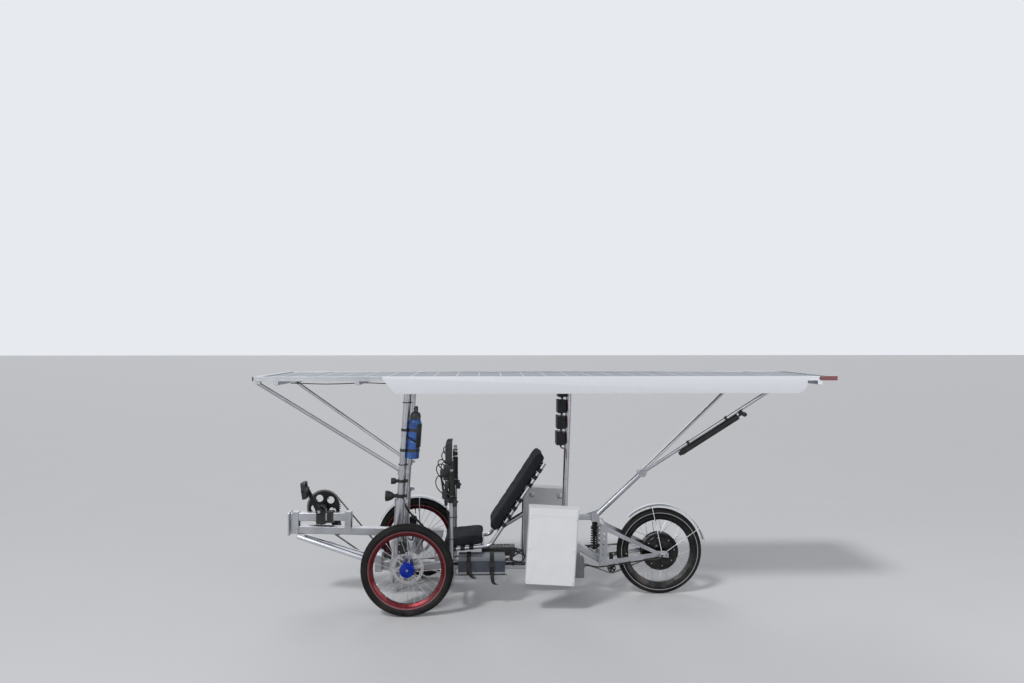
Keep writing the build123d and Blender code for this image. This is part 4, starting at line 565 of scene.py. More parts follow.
def block(name, place, size, corner=0.0, segments=2, turn=Matrix()):
    piece = startPiece(name, bpy.ops.mesh.primitive_cube_add, size=1)
    placeMesh(piece, Matrix.Translation(place) @ turn @ Matrix.Diagonal((*size, 1)))
    if corner:
        roundEdges(piece, corner, segments)
    return piece


def openTube(name, radius, tall, vertices):
    adder = bpy.ops.mesh.primitive_cylinder_add
    return startPiece(name, adder, vertices=vertices, radius=radius, depth=tall, end_fill_type="NOTHING")


# a cable tie: an open tube, thickened outwards
def makeTie(radius, tall, thick, vertices, place):
    tie = openTube("tie", radius, tall, vertices)
    placeMesh(tie, Matrix.Translation(place))
    addModifier(tie, "SOLIDIFY", thickness=thick, offset=1)
    return tie


# z of the piece turned to the direction, at the place
def aimedAt(place, direction, upright=(0, 1, 0)):
    along = Vector(direction).normalized()
    side = Vector(upright)
    if abs(along.dot(side)) > 0.98:
        side = Vector((1, 0, 0))
    across = side.cross(along).normalized()
    third = along.cross(across)
    turn = Matrix((across, third, along)).transposed().to_4x4()
    return Matrix.Translation(place) @ turn


# the same for a spot on a wheel, at an angle and a distance from the axle
def spokeSpot(axle, turn, reach):
    outwards = Vector((math.cos(turn), 0, math.sin(turn)))
    return aimedAt(Vector(axle) + outwards * reach, outwards)


# a closed form of rings up the z axis, each step extruded from the last: (height, radius)
def ringStack(name, steps, vertices, matrix=Matrix()):
    height, radius = steps[0]
    piece = startPiece(
        name, bpy.ops.mesh.primitive_circle_add, vertices=vertices, radius=radius, fill_type="NGON",
        location=(0, 0, height),
    )
    bpy.ops.object.transform_apply(location=True)
    pickOnly(piece)
    bpy.ops.object.mode_set(mode="EDIT")
    bpy.ops.mesh.select_mode(type="FACE")
    bpy.ops.mesh.select_all(action="SELECT")
    for nextHeight, nextRadius in steps[1:]:
        bpy.ops.mesh.extrude_region_move(TRANSFORM_OT_translate={"value": (0, 0, nextHeight - height)})
        grow = nextRadius / radius
        bpy.ops.transform.resize(value=(grow, grow, 1), center_override=(0, 0, nextHeight))
        height, radius = nextHeight, nextRadius
    bpy.ops.mesh.select_all(action="SELECT")
    bpy.ops.mesh.normals_make_consistent(inside=False)
    bpy.ops.object.mode_set(mode="OBJECT")
    placeMesh(piece, matrix)
    return piece


# one mesh of many copies of a template, which goes
def scatter(template, name, places):
    joined = bmesh.new()
    for matrix in places:
        copy = template.data.copy()
        copy.transform(matrix)
        joined.from_mesh(copy)
        bpy.data.meshes.remove(copy)
    mesh = bpy.data.meshes.new(name)
    joined.to_mesh(mesh)
    joined.free()
    bpy.data.objects.remove(template)
    piece = bpy.data.objects.new(name, mesh)
    bpy.context.collection.objects.link(piece)
    return piece


def joinPieces(parts, name):
    pickOnly(parts[0])
    for part in parts[1:]:
        part.select_set(True)
    bpy.ops.object.join()
    parts[0].name = name
    return parts[0]


def addModifier(piece, kind, **settings):
    pickOnly(piece)
    modifier = piece.modifiers.new(kind.lower(), kind)
    for key, value in settings.items():
        setattr(modifier, key, value)
    bpy.ops.object.modifier_apply(modifier=modifier.name)


def finishPiece(piece, look, body, smooth=40.0, slotName=None):
    slotName = slotName or lookSlots.get(look, "black_plastic")
    piece.data.materials.clear()
    piece.data.materials.append(finishes[look])
    pickOnly(piece)
    bpy.ops.object.shade_smooth_by_angle(angle=math.radians(smooth))
    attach(piece, body)


# a held cable or hose: a bevelled curve through given points
def heldCable(name, points, radius, body="chassis", look="cableBlack", order=4):
    curve = bpy.data.curves.new(name, "CURVE")
    curve.dimensions = "3D"
    curve.resolution_u = 6
    curve.bevel_depth = radius
    curve.bevel_resolution = 2
    curve.use_fill_caps = True
    line = curve.splines.new("NURBS")
    line.points.add(len(points) - 1)
    for point, place in zip(line.points, points):
        point.co = (*place, 1)
    line.order_u = order
    line.use_endpoint_u = True
    rope = bpy.data.objects.new(name, curve)
    bpy.context.collection.objects.link(rope)
    pickOnly(rope)
    bpy.ops.object.convert(target="MESH")
    finishPiece(bpy.context.object, look, body, 60)


print("tools ready")


# tyres with a tread of small blocks

wheelPlaces = {
    "left_front": (frontAxle["left"], "left_wheel", "leftTyre"),
    "right_front": (frontAxle["right"], "right_wheel", "rightTyre"),
    "rear": (rearAxle, "rear_wheel", "rearTyre"),
}
tyreForm = {
    "outer": 0.253, "bead": 0.2065, "half": 0.0238, "segments": 132, "around": 20,
    "treadFrom": 0.2440, "groove": 0.0014, "blockHeight": 0.0019,
}


def makeTyre(name):
    crown = tyreForm["outer"] - tyreForm["blockHeight"]
    tall = (crown - tyreForm["bead"]) / 2
    tyre = startPiece(
        name, bpy.ops.mesh.primitive_torus_add, major_segments=tyreForm["segments"],
        minor_segments=tyreForm["around"], major_radius=crown - tall, minor_radius=tall,
    )
    placeMesh(tyre, Matrix.Diagonal((1, 1, tyreForm["half"] / tall, 1)))

    def cutTread():
        bpy.ops.mesh.inset(thickness=tyreForm["groove"], use_individual=True)
        bpy.ops.mesh.extrude_region_shrink_fatten(
            TRANSFORM_OT_shrink_fatten={"value": tyreForm["blockHeight"], "use_even_offset": False}
        )

    treadFrom = tyreForm["treadFrom"]
    editParts(tyre, "FACE", lambda face: face.calc_center_median().xy.length > treadFrom, cutTread)
    return tyre


for wheelName, (axle, body, look) in wheelPlaces.items():
    tyre = makeTyre(f"{wheelName}TreadedTyre")
    placeMesh(tyre, aimedAt(axle, (0, 1, 0)))
    finishPiece(tyre, look, body, 28)
    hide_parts(f"{wheelName}_tyre")
print("tyres treaded")


# spoke nipples, and a valve through each rim

spokeForm = {
    "count": 28, "from": 0.1755, "steps": [(0, 0.0015), (0.002, 0.0021), (0.0095, 0.0021), (0.011, 0.0024)],
}
valveForm = {
    "from": 0.187 - 0.034, "turn": 96.4,
    "steps": [
        (0, 0.0022), (0.001, 0.0030), (0.012, 0.0030), (0.0125, 0.0024), (0.022, 0.0024), (0.0225, 0.0046),
        (0.034, 0.0046),
    ],
}
for wheelName, (axle, body, look) in wheelPlaces.items():
    turns = [2 * math.pi * number / spokeForm["count"] for number in range(spokeForm["count"])]
    spots = [spokeSpot(axle, turn, spokeForm["from"]) for turn in turns]
    nipples = scatter(ringStack("nipple", spokeForm["steps"], 6), f"{wheelName}Nipples", spots)
    finishPiece(nipples, "plainSteel", body, 35)
    spot = spokeSpot(axle, math.radians(valveForm["turn"]), valveForm["from"])
    stem = ringStack(f"{wheelName}Valve", valveForm["steps"], 10, spot)
    finishPiece(stem, "blackPlastic", body, 35)
print("nipples and valves set")


# drive chain: links along the belt's path, from the same pulleys as the solid

chainForm = {
    "pitch": 0.0127, "y": 0.060, "plate": (0.0182, 0.0009, 0.0082), "corner": 0.0036, "roller": 0.0037,
    "halves": (0.0021, 0.0031),
}
chainPitch = chainForm["pitch"]
ringRadius = chainPitch * 48 / (2 * math.pi)
cassetteRadius = chainPitch * 20 / (2 * math.pi)
returnZ = 0.158
chainPulleys = [  # x, z, radius, side of the belt
    (crankX, crankZ, ringRadius, 1),
    (-0.885, 0.220, 0.035, -1),
    (rearAxle[0], axleZ, cassetteRadius, 1),
    (0.415, 0.133, 0.030, 1),
    (0.235, returnZ - 0.140, 0.140, -1),
    (-0.940, returnZ + 0.070, 0.070, 1),
]


# the belt as runs and arcs: each is (length, function of the way along it to x, z, heading)
def beltPath(pulleys):
    runs = []
    for here, there in zip(pulleys, pulleys[1:] + pulleys[:1]):
        first, second = here[3] * here[2], there[3] * there[2]
        span = math.hypot(there[0] - here[0], there[1] - here[1])
        heading = math.atan2(there[1] - here[1], there[0] - here[0]) - math.asin((first - second) / span)
        left = (-math.sin(heading), math.cos(heading))
        start = (here[0] + first * left[0], here[1] + first * left[1])
        end = (there[0] + second * left[0], there[1] + second * left[1])
        runs.append((start, end, heading))
    path = []
    for place, pulley in enumerate(pulleys):
        before, after = runs[place - 1], runs[place]
        side, radius = pulley[3], pulley[2]
        turn = (side * (before[2] - after[2])) % (2 * math.pi)

        def onArc(way, pulley=pulley, side=side, radius=radius, heading=before[2]):
            now = heading - side * way / radius
            return pulley[0] - side * radius * math.sin(now), pulley[1] + side * radius * math.cos(now), now

        def onRun(way, start=after[0], heading=after[2]):
            return start[0] + way * math.cos(heading), start[1] + way * math.sin(heading), heading

        path.append((turn * radius, onArc))
        path.append((math.dist(after[0], after[1]), onRun))
    return path


def pointOn(path, way):
    for length, place in path:
        if way < length:
            return place(way)
        way -= length
    return path[-1][1](path[-1][0])


drivePath = beltPath(chainPulleys)
driveLength = sum(length for length, place in drivePath)
linkCount = 2 * round(driveLength / chainPitch / 2)
linkStep = driveLength / linkCount


def makeLink(apart):
    parts = [block("link", (0, side * apart, 0), chainForm["plate"]) for side in (-1, 1)]
    for plate in parts:
        roundEdges(plate, chainForm["corner"], 2, runsAlong(1))
    parts.append(openTube("link", chainForm["roller"], 2 * apart, 8))
    placeMesh(parts[-1], aimedAt((chainPitch / 2, 0, 0), (0, 1, 0)))
    return joinPieces(parts, "link")


# inner and outer links stand by turns along the path
linkPieces = []
for first, apart in enumerate(chainForm["halves"]):
    spots = []
    for number in range(first, linkCount, 2):
        x, z, heading = pointOn(drivePath, (number + 0.5) * linkStep)
        spots.append(Matrix.Translation((x, chainForm["y"], z)) @ Matrix.Rotation(-heading, 4, "Y"))
    linkPieces.append(scatter(makeLink(apart), "links", spots))
driveChain = joinPieces(linkPieces, "driveChain")
finishPiece(driveChain, "chainSteel", "chassis", 30)
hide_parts("chain")
print("chain of", linkCount, "links, length", round(driveLength, 3))


# rear shock: body with its seats, and a wound spring

shockForm = {
    "low": (0.300, 0.0, 0.262), "high": (0.305, 0.0, 0.4317), "wire": 0.0040, "coil": 0.0180,
    "from": 0.019, "pitch": 0.0132, "turns": 8.4, "windings": 8, "stretch": 1.05,
}
shockRun = Vector(shockForm["high"]) - Vector(shockForm["low"])
springTop = shockForm["from"] + shockForm["pitch"] * shockForm["turns"]
shockSteps = [
    (0.0, 0.0085), (0.004, 0.0095), (0.009, 0.0095), (0.0095, 0.0222), (0.0145, 0.0222), (0.0150, 0.0070),
    (0.075, 0.0070), (0.0755, 0.0105), (springTop - 0.001, 0.0105), (springTop, 0.0225),
    (springTop + 0.006, 0.0225), (springTop + 0.007, 0.0150), (0.160, 0.0150), (0.163, 0.0120),
    (0.1696, 0.0110),
]
shockBody = ringStack("shockBody", shockSteps, 28, aimedAt(shockForm["low"], shockRun))
finishPiece(shockBody, "blackAnodised", "chassis", 30)
spring = startPiece("shockSpring", bpy.ops.mesh.primitive_circle_add, vertices=10, radius=shockForm["wire"])
placeMesh(spring, Matrix.Translation((shockForm["coil"], 0, 0)) @ Matrix.Rotation(math.pi / 2, 4, "X"))
addModifier(
    spring, "SCREW", axis="Z", steps=22, render_steps=22, iterations=shockForm["windings"],
    screw_offset=shockForm["pitch"] * shockForm["stretch"], angle=2 * math.pi, use_smooth_shade=True,
)


def capSpring():
    bpy.ops.mesh.fill()
    bpy.ops.mesh.select_all(action="SELECT")
    bpy.ops.mesh.normals_make_consistent()


editParts(spring, "EDGE", lambda edge: edge.is_boundary, capSpring)
placeMesh(spring, aimedAt(Vector(shockForm["low"]) + shockRun.normalized() * shockForm["from"], shockRun))
finishPiece(spring, "springBlack", "chassis", 60)
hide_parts("rear_shock")
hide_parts("rear_shock")
print("shock wound")


# seat pads, blown up as cloth from slightly smaller shapes

padShared = {
    "half": 0.160, "thick": 0.055, "corner": 0.028, "rim": 0.010, "inside": 0.0065, "voxel": 0.0058,
    "pressure": 4.0, "cap": 0.0062, "frames": 20, "channel": 0.0075, "sunk": 0.0045, "margin": 0.030,
    "seam": 0.0012, "seamHalf": 0.0035, "seamDepth": 0.004,
}
padForms = {  # ends of the middle line, places of the sewn channels along it, finish, filling
    "seatCushion": ((-0.585, 0, 0.340), (-0.348, 0, 0.360), (0.34, 0.68), "cushionWeave", 0.65),
    "seatBack": ((-0.306, 0, 0.409), (-0.012, 0, 0.850), (0.16, 0.32, 0.48, 0.64, 0.80), "backWeave", 0.6),
}


def blowUp(piece):
    rest = [vertex.co.copy() for vertex in piece.data.vertices]
    pickOnly(piece)
    cloth = piece.modifiers.new("cloth", "CLOTH")
    cloth.settings.use_pressure = True
    cloth.settings.uniform_pressure_force = padShared["pressure"]
    cloth.settings.effector_weights.gravity = 0
    cloth.settings.quality = 5
    cloth.point_cache.frame_start = 1
    cloth.point_cache.frame_end = padShared["frames"]
    for number in range(1, padShared["frames"] + 1):
        bpy.context.scene.frame_set(number)
    blown = piece.evaluated_get(bpy.context.evaluated_depsgraph_get()).data
    moved = [vertex.co.copy() for vertex in blown.vertices]
    piece.modifiers.remove(cloth)
    bpy.context.scene.frame_set(1)
    for vertex, old, new in zip(piece.data.vertices, rest, moved):
        step = new - old
        if step.length > padShared["cap"]:
            step = step.normalized() * padShared["cap"]
        vertex.co = old + step


def makePad(name, low, high, channels):
    run = Vector(high) - Vector(low)
    inside = padShared["inside"]
    size = (2 * (padShared["half"] - inside), run.length - 2 * inside, padShared["thick"] - 2 * inside)
    pad = block(name, (0, 0, 0), size)
    roundEdges(pad, padShared["corner"], 5, runsAlong(2))
    flat = size[2] / 2 - 0.0001

    def onRim(edge):
        level = {abs(face.normal.z) > 0.9 for face in edge.link_faces}
        return all(abs(vertex.co.z) > flat for vertex in edge.verts) and len(level) > 1

    roundEdges(pad, padShared["rim"], 3, onRim)
    addModifier(pad, "REMESH", mode="VOXEL", voxel_size=padShared["voxel"])
    blowUp(pad)
    # sewn channels across the pad, and a seam round its edge
    for vertex in pad.data.vertices:
        across, along, up = vertex.co
        for share in channels:
            apart = abs(along - (share - 0.5) * run.length) / padShared["channel"]
            if apart < 1 and abs(across) < padShared["half"] - padShared["margin"]:
                vertex.co.z -= math.copysign(padShared["sunk"] * (1 - apart * apart) ** 2, up)
        for axis, way in enumerate((across, along)):
            if abs(up) < padShared["seamHalf"] and abs(way) > size[axis] / 2 - padShared["seamDepth"]:
                vertex.co[axis] += math.copysign(padShared["seam"], way)
    addModifier(pad, "SUBSURF", levels=1, render_levels=1)
    place = aimedAt((Vector(low) + Vector(high)) / 2, (-run.z, 0, run.x))
    # the pad's width lies along world y after this turn
    acrossWay = place.to_3x3() @ Vector((1, 0, 0))
    spin = math.pi / 2 if abs(acrossWay.y) < 0.5 else 0.0
    placeMesh(pad, place @ Matrix.Rotation(spin, 4, "Z"))
    return pad


for padName, (low, high, channels, look, fill) in padForms.items():
    pad = makePad(padName, low, high, channels)
    finishPiece(pad, look, "chassis", 60)
    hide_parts("seat_pad")
    print("pad sewn:", padName, len(pad.data.polygons))


# straps round the battery with their buckles and loose tails

strapForm = {
    "half": 0.0118, "thick": 0.0014, "side": (-0.2004, -0.0776), "z": (0.1736, 0.2774), "corner": 0.0092,
    "tail": (0.003, 0.0050, 0.046, (0.020, 0.006, 1)),  # along, out and up from the strap's corner, size
    "buckle": (0.0034, 0.058, (0.032, 0.0046, 0.030)), "recess": (0.006, -0.0020),
}
tailBends = {  # place of a strap: steps of its tail along x, down and outwards
    -0.436: (
        (0.001, 0.014, -0.001), (0.002, 0.014, -0.001), (0.004, 0.012, -0.001), (0.007, 0.009, -0.001),
        (0.009, 0.006, 0.000), (0.010, 0.004, 0.001),
    ),
    -0.305: (
        (0.000, 0.016, -0.001), (-0.001, 0.018, -0.003), (0.000, 0.018, -0.006), (0.002, 0.016, -0.005),
        (0.005, 0.012, -0.001), (0.009, 0.008, 0.003), (0.011, 0.004, 0.005),
    ),
}
straps = []
buckles = []
inner, outer = strapForm["side"][1], strapForm["side"][0]
bottom, top = strapForm["z"]
for place, bends in tailBends.items():
    size = (2 * strapForm["half"], inner - outer, top - bottom)
    strap = block("strap", (place, (outer + inner) / 2, (bottom + top) / 2), size)
    dropFaces(strap, lambda face: abs(face.normal.x) > 0.9)
    roundEdges(strap, strapForm["corner"], 4, runsAlong(0))
    addModifier(strap, "SOLIDIFY", thickness=strapForm["thick"], offset=1)
    # the loose tail hangs from the buckle, bows out and curls under at its end
    shift, out, up, size = strapForm["tail"]
    tail = startPiece("tail", bpy.ops.mesh.primitive_plane_add, size=1)
    lay = aimedAt((place + shift, outer - out, bottom + up), (0, -1, 0), (0, 0, 1))
    placeMesh(tail, lay @ Matrix.Diagonal((*size, 1)))
    edgeZ = bottom + up - 0.0025

    def runDown(bends=bends):
        for step, drop, out in bends:
            bpy.ops.mesh.extrude_region_move(TRANSFORM_OT_translate={"value": (step, out, -drop)})

    editParts(tail, "EDGE", lambda edge: all(vertex.co.z < edgeZ for vertex in edge.verts), runDown)
    addModifier(tail, "SOLIDIFY", thickness=strapForm["thick"], offset=0)
    straps += [strap, tail]
    out, up, size = strapForm["buckle"]
    buckle = block("buckle", (place, outer - out, bottom + up), size)
    rim, depth = strapForm["recess"]
    editParts(
        buckle, "FACE", lambda face: face.normal.y < -0.9,
        lambda rim=rim, depth=depth: bpy.ops.mesh.inset(thickness=rim, depth=depth),
    )
    roundEdges(buckle, 0.0008, 2)
    buckles.append(buckle)
finishPiece(joinPieces(straps, "batteryStraps"), "blackWebbing", "chassis", 45)
finishPiece(joinPieces(buckles, "strapBuckles"), "blackPlastic", "chassis")
print("battery strapped")


# screws and nuts, one form for all and its size by scale

boltForm = [(-0.001, 0.0046), (0.0006, 0.0046), (0.0007, 0.0036), (0.0034, 0.0036), (0.0039, 0.0030)]
boltRows = [  # size and places (x, y, z) of the chassis' screws that point outwards on both sides
    (1.1, [(x, 0.0279, z) for x in (-1.458, -1.440, -1.155, -1.135) for z in (0.384, 0.408)]),  # crank rail
    (2.0, [(0.335, 0.0862, 0.205)]),  # swingarm's pivot, then its plates
    (0.9, [(0.343, 0.0802, 0.416), (0.343, 0.0802, 0.404), (0.402, 0.0802, 0.258), (0.480, 0.0802, 0.256)]),
    (2.1, [(rearAxle[0], 0.0942, axleZ)]),  # axle nuts
    (2.0, [(0.585, 0.0342, 0.717)]),  # rear frame's junction
    (1.6, [(0.305, 0.0302, 0.456)]),  # shock's upper eye
    (1.2, [(-0.565, 0.0122, 0.245)]),  # seat frame's front post
    (1.3, [(0.030, 0.0142, 0.219), (0.030, 0.0142, 0.430)]),  # side boxes on their carriers
]
mastClamps = {"half": 0.008, "size": 1.0, "places": ((-0.800, 0.232), (-0.794, 0.312))}
boltRings = {  # middle, radius, count and first angle of a circle of screws
    "rotor": (frontX, axleZ, 0.0235, 6, 12), "motorCover": (rearAxle[0], axleZ, 0.084, 8, 8),
    "chainring": (crankX, crankZ, 0.056, 5, 63),
}
beamScrews = {"x": (-1.470, -1.035, -0.7787, -0.300, 0.1527, 0.650, 1.262, 1.500), "y": 0.357, "z": 1.2578}
leverScrews = {"x": -0.548, "z": (0.628, 0.608)}
kingpinEnds = ((1, 0.3242), (-1, 0.1758))
caliperScrews = {"x": -0.812, "y": 0.3252, "z": (0.343, 0.385)}
boltBodies = "chassis steering_bar left_steering right_steering left_wheel right_wheel rear_wheel crank"
bolts = {body: [] for body in boltBodies.split()}


def addBolts(body, size, way, places):
    bolts[body] += [aimedAt(place, way) @ Matrix.Scale(size, 4) for place in places]


def circleOf(name, y):
    x, z, radius, count, first = boltRings[name]
    turns = [math.radians(360 / count * number + first) for number in range(count)]
    return [(x + radius * math.cos(turn), y, z + radius * math.sin(turn)) for turn in turns]


for side, sideName in sides:
    out = (0, side, 0)
    for size, places in boltRows:
        addBolts("chassis", size, out, [(x, side * y, z) for x, y, z in places])
    for way in (-1, 1):
        y = side * mastLine["y"] + way * mastClamps["half"]
        addBolts("chassis", mastClamps["size"], (0, way, 0), [(x, y, z) for x, z in mastClamps["places"]])
    # brake levers' clamps
    addBolts("steering_bar", 1.1, (-1, 0, 0), [(leverScrews["x"], side * barY, z) for z in leverScrews["z"]])
    # kingpins' ends, and caliper screws on the outside
    for way, z in kingpinEnds:
        addBolts(f"{sideName}_steering", 3.0, (0, 0, way), [(frontX, side * kingpinY, z)])
    spots = [(caliperScrews["x"], side * caliperScrews["y"], z) for z in caliperScrews["z"]]
    addBolts(f"{sideName}_steering", 1.0, out, spots)
    # rotor screws, hub motor's cover screws, crank arms' bolts on the shaft
    addBolts(f"{sideName}_wheel", 0.75, (0, -side, 0), circleOf("rotor", side * 0.3119))
    addBolts("rear_wheel", 0.8, out, circleOf("motorCover", side * 0.0345))
    addBolts("crank", 2.2, out, [(crankX, side * 0.0862, crankZ)])
# chainring's screws on its spider, and rail screws along the roof's sides, over each beam
addBolts("crank", 1.3, (0, 1, 0), circleOf("chainring", 0.0622))
spots = [(x, side * beamScrews["y"], beamScrews["z"]) for x in beamScrews["x"] for side in (-1, 1)]
addBolts("chassis", 1.0, (0, 0, -1), spots)
boltSlots = {"crank": "black_metal", "rear_wheel": "motor_black"}
for body, spots in bolts.items():
    piece = scatter(ringStack("bolt", boltForm, 6), f"{body}Bolts", spots)
    finishPiece(piece, "plainSteel", body, 30, boltSlots.get(body))
print("bolts set:", sum(len(spots) for spots in bolts.values()))


# lamps: fluted glass domes before their bowls

lampForms = {  # height, way from the mast to the glass's rim, radius, bulge
    "headGlass": (0.624, 0.063, 0.0262, 0.0050),
    "upperGlass": (0.708, 0.0375, 0.0142, 0.0030),
}
domeShape = ((0, 1), (0.45, 0.93), (0.8, 0.72), (0.95, 0.42), (1, 0.12))
for lampName, (z, reach, radius, bulge) in lampForms.items():
    steps = [(-0.0012, radius)] + [(up * bulge, wide * radius) for up, wide in domeShape]
    rim = (mastX(z) - mastLine["radius"] - reach, -mastLine["y"], z)
    glass = ringStack(lampName, steps, 36, aimedAt(rim, (-1, 0, 0)))
    finishPiece(glass, "lampGlass", "chassis", 60)
print("lamps glazed")


# mirror face, its corners rounded

mirrorForm = {"centre": (-0.5226, -0.327, 0.890), "size": (0.075, 0.129), "corner": 0.019, "thick": 0.0012}
face = startPiece("mirrorGlass", bpy.ops.mesh.primitive_plane_add, size=1)
placeMesh(face, Matrix.Diagonal((*mirrorForm["size"], 1, 1)))
roundEdges(face, mirrorForm["corner"], 6, affect="VERTICES")
addModifier(face, "SOLIDIFY", thickness=mirrorForm["thick"], offset=1)
turned = Matrix(((0, 0, 1), (1, 0, 0), (0, 1, 0))).to_4x4()
placeMesh(face, Matrix.Translation(mirrorForm["centre"]) @ turned)
finishPiece(face, "mirrorFace", "steering_bar", 30)
print("mirror set")


# cable ties round the left mast and its cables

tieForm = {
    "heights": (0.597, 0.800, 1.150, 1.215), "radius": 0.0262, "shift": (0.0034, 0.0062), "wide": 0.0045,
    "thick": 0.0013, "head": (0.0055, 0.0050, 0.0062),
}
ties = []
reach = tieForm["radius"] + 0.002
for z in tieForm["heights"]:
    x, y = mastX(z) + tieForm["shift"][0], -mastLine["y"] + tieForm["shift"][1]
    ties.append(makeTie(tieForm["radius"], tieForm["wide"], tieForm["thick"], 28, (x, y, z)))
    ties.append(block("tieHead", (x - 0.3 * reach, y - 0.95 * reach, z), tieForm["head"], 0.0007))
finishPiece(joinPieces(ties, "mastTies"), "blackPlastic", "chassis")


# brake hoses held along the steering bar, with their ties

hoseForm = {"radius": 0.0025, "off": 0.0137, "ties": (0.52, 0.40, 0.28), "tie": (0.0142, 0.004, 0.001, 20)}
hoseTies = []
front = barX - hoseForm["off"]
low = front + 0.001
for side, sideName in sides:
    y = side * barY
    points = [
        (-0.560, y, 0.5850), (-0.560, y, 0.566), (-0.553, y, 0.546), (front, y, 0.524), (front, y, 0.44),
        (front, y, 0.33), (front, y, 0.22), (front, y - side * 0.004, 0.178), (low, y - side * 0.020, 0.146),
        (low, y - side * 0.048, 0.1305), (low, side * 0.17, 0.1300), (low, side * 0.08, 0.1300),
        (-0.5395, side * 0.030, 0.1370), (-0.533, side * 0.012, 0.1400),
    ]
    heldCable(f"{sideName}BrakeHose", points, hoseForm["radius"], "steering_bar")
    hoseTies += [makeTie(*hoseForm["tie"], (-0.5328, y, z)) for z in hoseForm["ties"]]
finishPiece(joinPieces(hoseTies, "hoseTies"), "blackPlastic", "steering_bar")
print("hoses held")


# shifters and thumb buttons on the bar, with end plugs in the bar's ends

shifterForm = {  # places as x and z; pods and buttons stand a little inwards of the bar
    "pod": ((0.026, 0.030, 0.040), 0.006), "in": 0.004, "podAt": (-0.5125, 0.597),
    "buttonAt": (-0.4998, 0.603), "plugZ": 0.8420,
    "button": [(0, 0.0062), (0.004, 0.0062), (0.0062, 0.0048), (0.0068, 0.0020)],
    "plug": [(-0.004, 0.0096), (0.0, 0.0096), (0.0, 0.0112), (0.0025, 0.0112), (0.0042, 0.0092)],
}
shifterParts = []
for side in (-1, 1):
    y = side * barY
    (podX, podZ), (buttonX, buttonZ) = shifterForm["podAt"], shifterForm["buttonAt"]
    inwards = y - side * shifterForm["in"]
    pod = block("pod", (podX, inwards, podZ), *shifterForm["pod"], 3)
    button = ringStack("button", shifterForm["button"], 18, aimedAt((buttonX, inwards, buttonZ), (1, 0, 0)))
    plug = ringStack("plug", shifterForm["plug"], 20, aimedAt((barX, y, shifterForm["plugZ"]), (0, 0, 1)))
    shifterParts += [pod, button, plug]
finishPiece(joinPieces(shifterParts, "shiftersAndPlugs"), "blackPlastic", "steering_bar")
print("shifters set")


# pedal pins

pedalForm = {
    "crank": 0.152, "y": 0.136, "lean": 0.12, "face": 0.0099, "turns": {"left": 117.0, "right": 297.0},
}
pinGrid = [(y, way * run) for way in (-1, 1) for y, run in
           ((-0.036, 0.041), (-0.018, 0.042), (0.018, 0.042), (0.036, 0.041))]
pinSteps = [(0, 0.0018), (0.0024, 0.0018), (0.0030, 0.0012)]
# pedal plate's own directions: across is y, along lies in the plate, out is the plate's normal
out = Vector((1, 0, pedalForm["lean"])).normalized()
along = Vector((-out.z, 0, out.x))
for side, sideName in sides:
    way = math.radians(pedalForm["turns"][sideName])
    x, z = crankX + pedalForm["crank"] * math.cos(way), crankZ + pedalForm["crank"] * math.sin(way)
    centre = Vector((x, side * pedalForm["y"], z))
    spots = []
    for across, run in pinGrid:
        for face in (-1, 1):
            place = centre + Vector((0, across, 0)) + along * run + out * (face * pedalForm["face"])
            spots.append(aimedAt(place, out * face))
    pins = scatter(ringStack("pin", pinSteps, 8), f"{sideName}PedalPins", spots)
    finishPiece(pins, "plainSteel", f"{sideName}_pedal_body", 30)
print("pedals pinned")


# wires under the roof, held to the beams, down to the controllers

roofWires = {
    "leftPanelWire": [
        (-1.380, -0.150, 1.2700), (-1.420, -0.120, 1.2560), (-1.470, -0.080, 1.2540),
        (-1.440, -0.040, 1.2520), (-1.250, -0.030, 1.2440), (-1.035, -0.028, 1.2545),
        (-0.900, -0.027, 1.2460), (-0.779, -0.026, 1.2545), (-0.540, -0.026, 1.2420),
        (-0.300, -0.026, 1.2545), (-0.080, -0.027, 1.2430), (0.060, -0.030, 1.2440),
        (0.094, -0.034, 1.2460),
    ],
    "rearPanelWire": [
        (1.310, 0.120, 1.2700), (1.290, 0.080, 1.2560), (1.262, 0.036, 1.2545), (1.080, 0.030, 1.2440),
        (0.860, 0.028, 1.2430), (0.650, 0.028, 1.2545), (0.480, 0.028, 1.2420), (0.300, 0.028, 1.2440),
        (0.215, 0.030, 1.2500), (0.186, 0.032, 1.2300), (0.172, 0.032, 1.1900), (0.160, 0.030, 1.1700),
    ],
}
for wireName, points in roofWires.items():
    heldCable(wireName, points, 0.0026, order=3)
controllerForm = {"count": 4, "top": 1.2450, "pitch": 0.094, "tall": 0.076, "drop": 0.010, "wire": 0.0021}
rearMast = {"x": 0.116, "z": 0.207, "lean": 0.035, "radius": 0.017, "gap": 0.0018}
wireForm = [  # way back, aside, down
    (-0.022, 0.030, -0.002), (-0.022, 0.030, 0.006), (-0.014, 0.027, 0.013), (-0.002, 0.0215, 0.015),
    (0.012, 0.0200, 0.020), (0.012, 0.0200, 0.075),
]
for number in range(controllerForm["count"]):
    middle = controllerForm["top"] - controllerForm["tall"] / 2 - number * controllerForm["pitch"]
    low = middle - controllerForm["tall"] / 2 - controllerForm["drop"]
    back = rearMast["x"] + rearMast["lean"] * (middle - rearMast["z"]) - rearMast["radius"] - rearMast["gap"]
    for pair, (side, look) in enumerate(((-1, "cableRed"), (1, "cableBlack"))):
        points = [(back + way, side * aside, low - down) for way, aside, down in wireForm]
        wireName = f"controllerWire{2 * number + pair + 1}"
        heldCable(wireName, points, controllerForm["wire"], look=look, order=3)
print("wires laid")


# panel clamps between the modules and the rails, seen on the roof's top edge

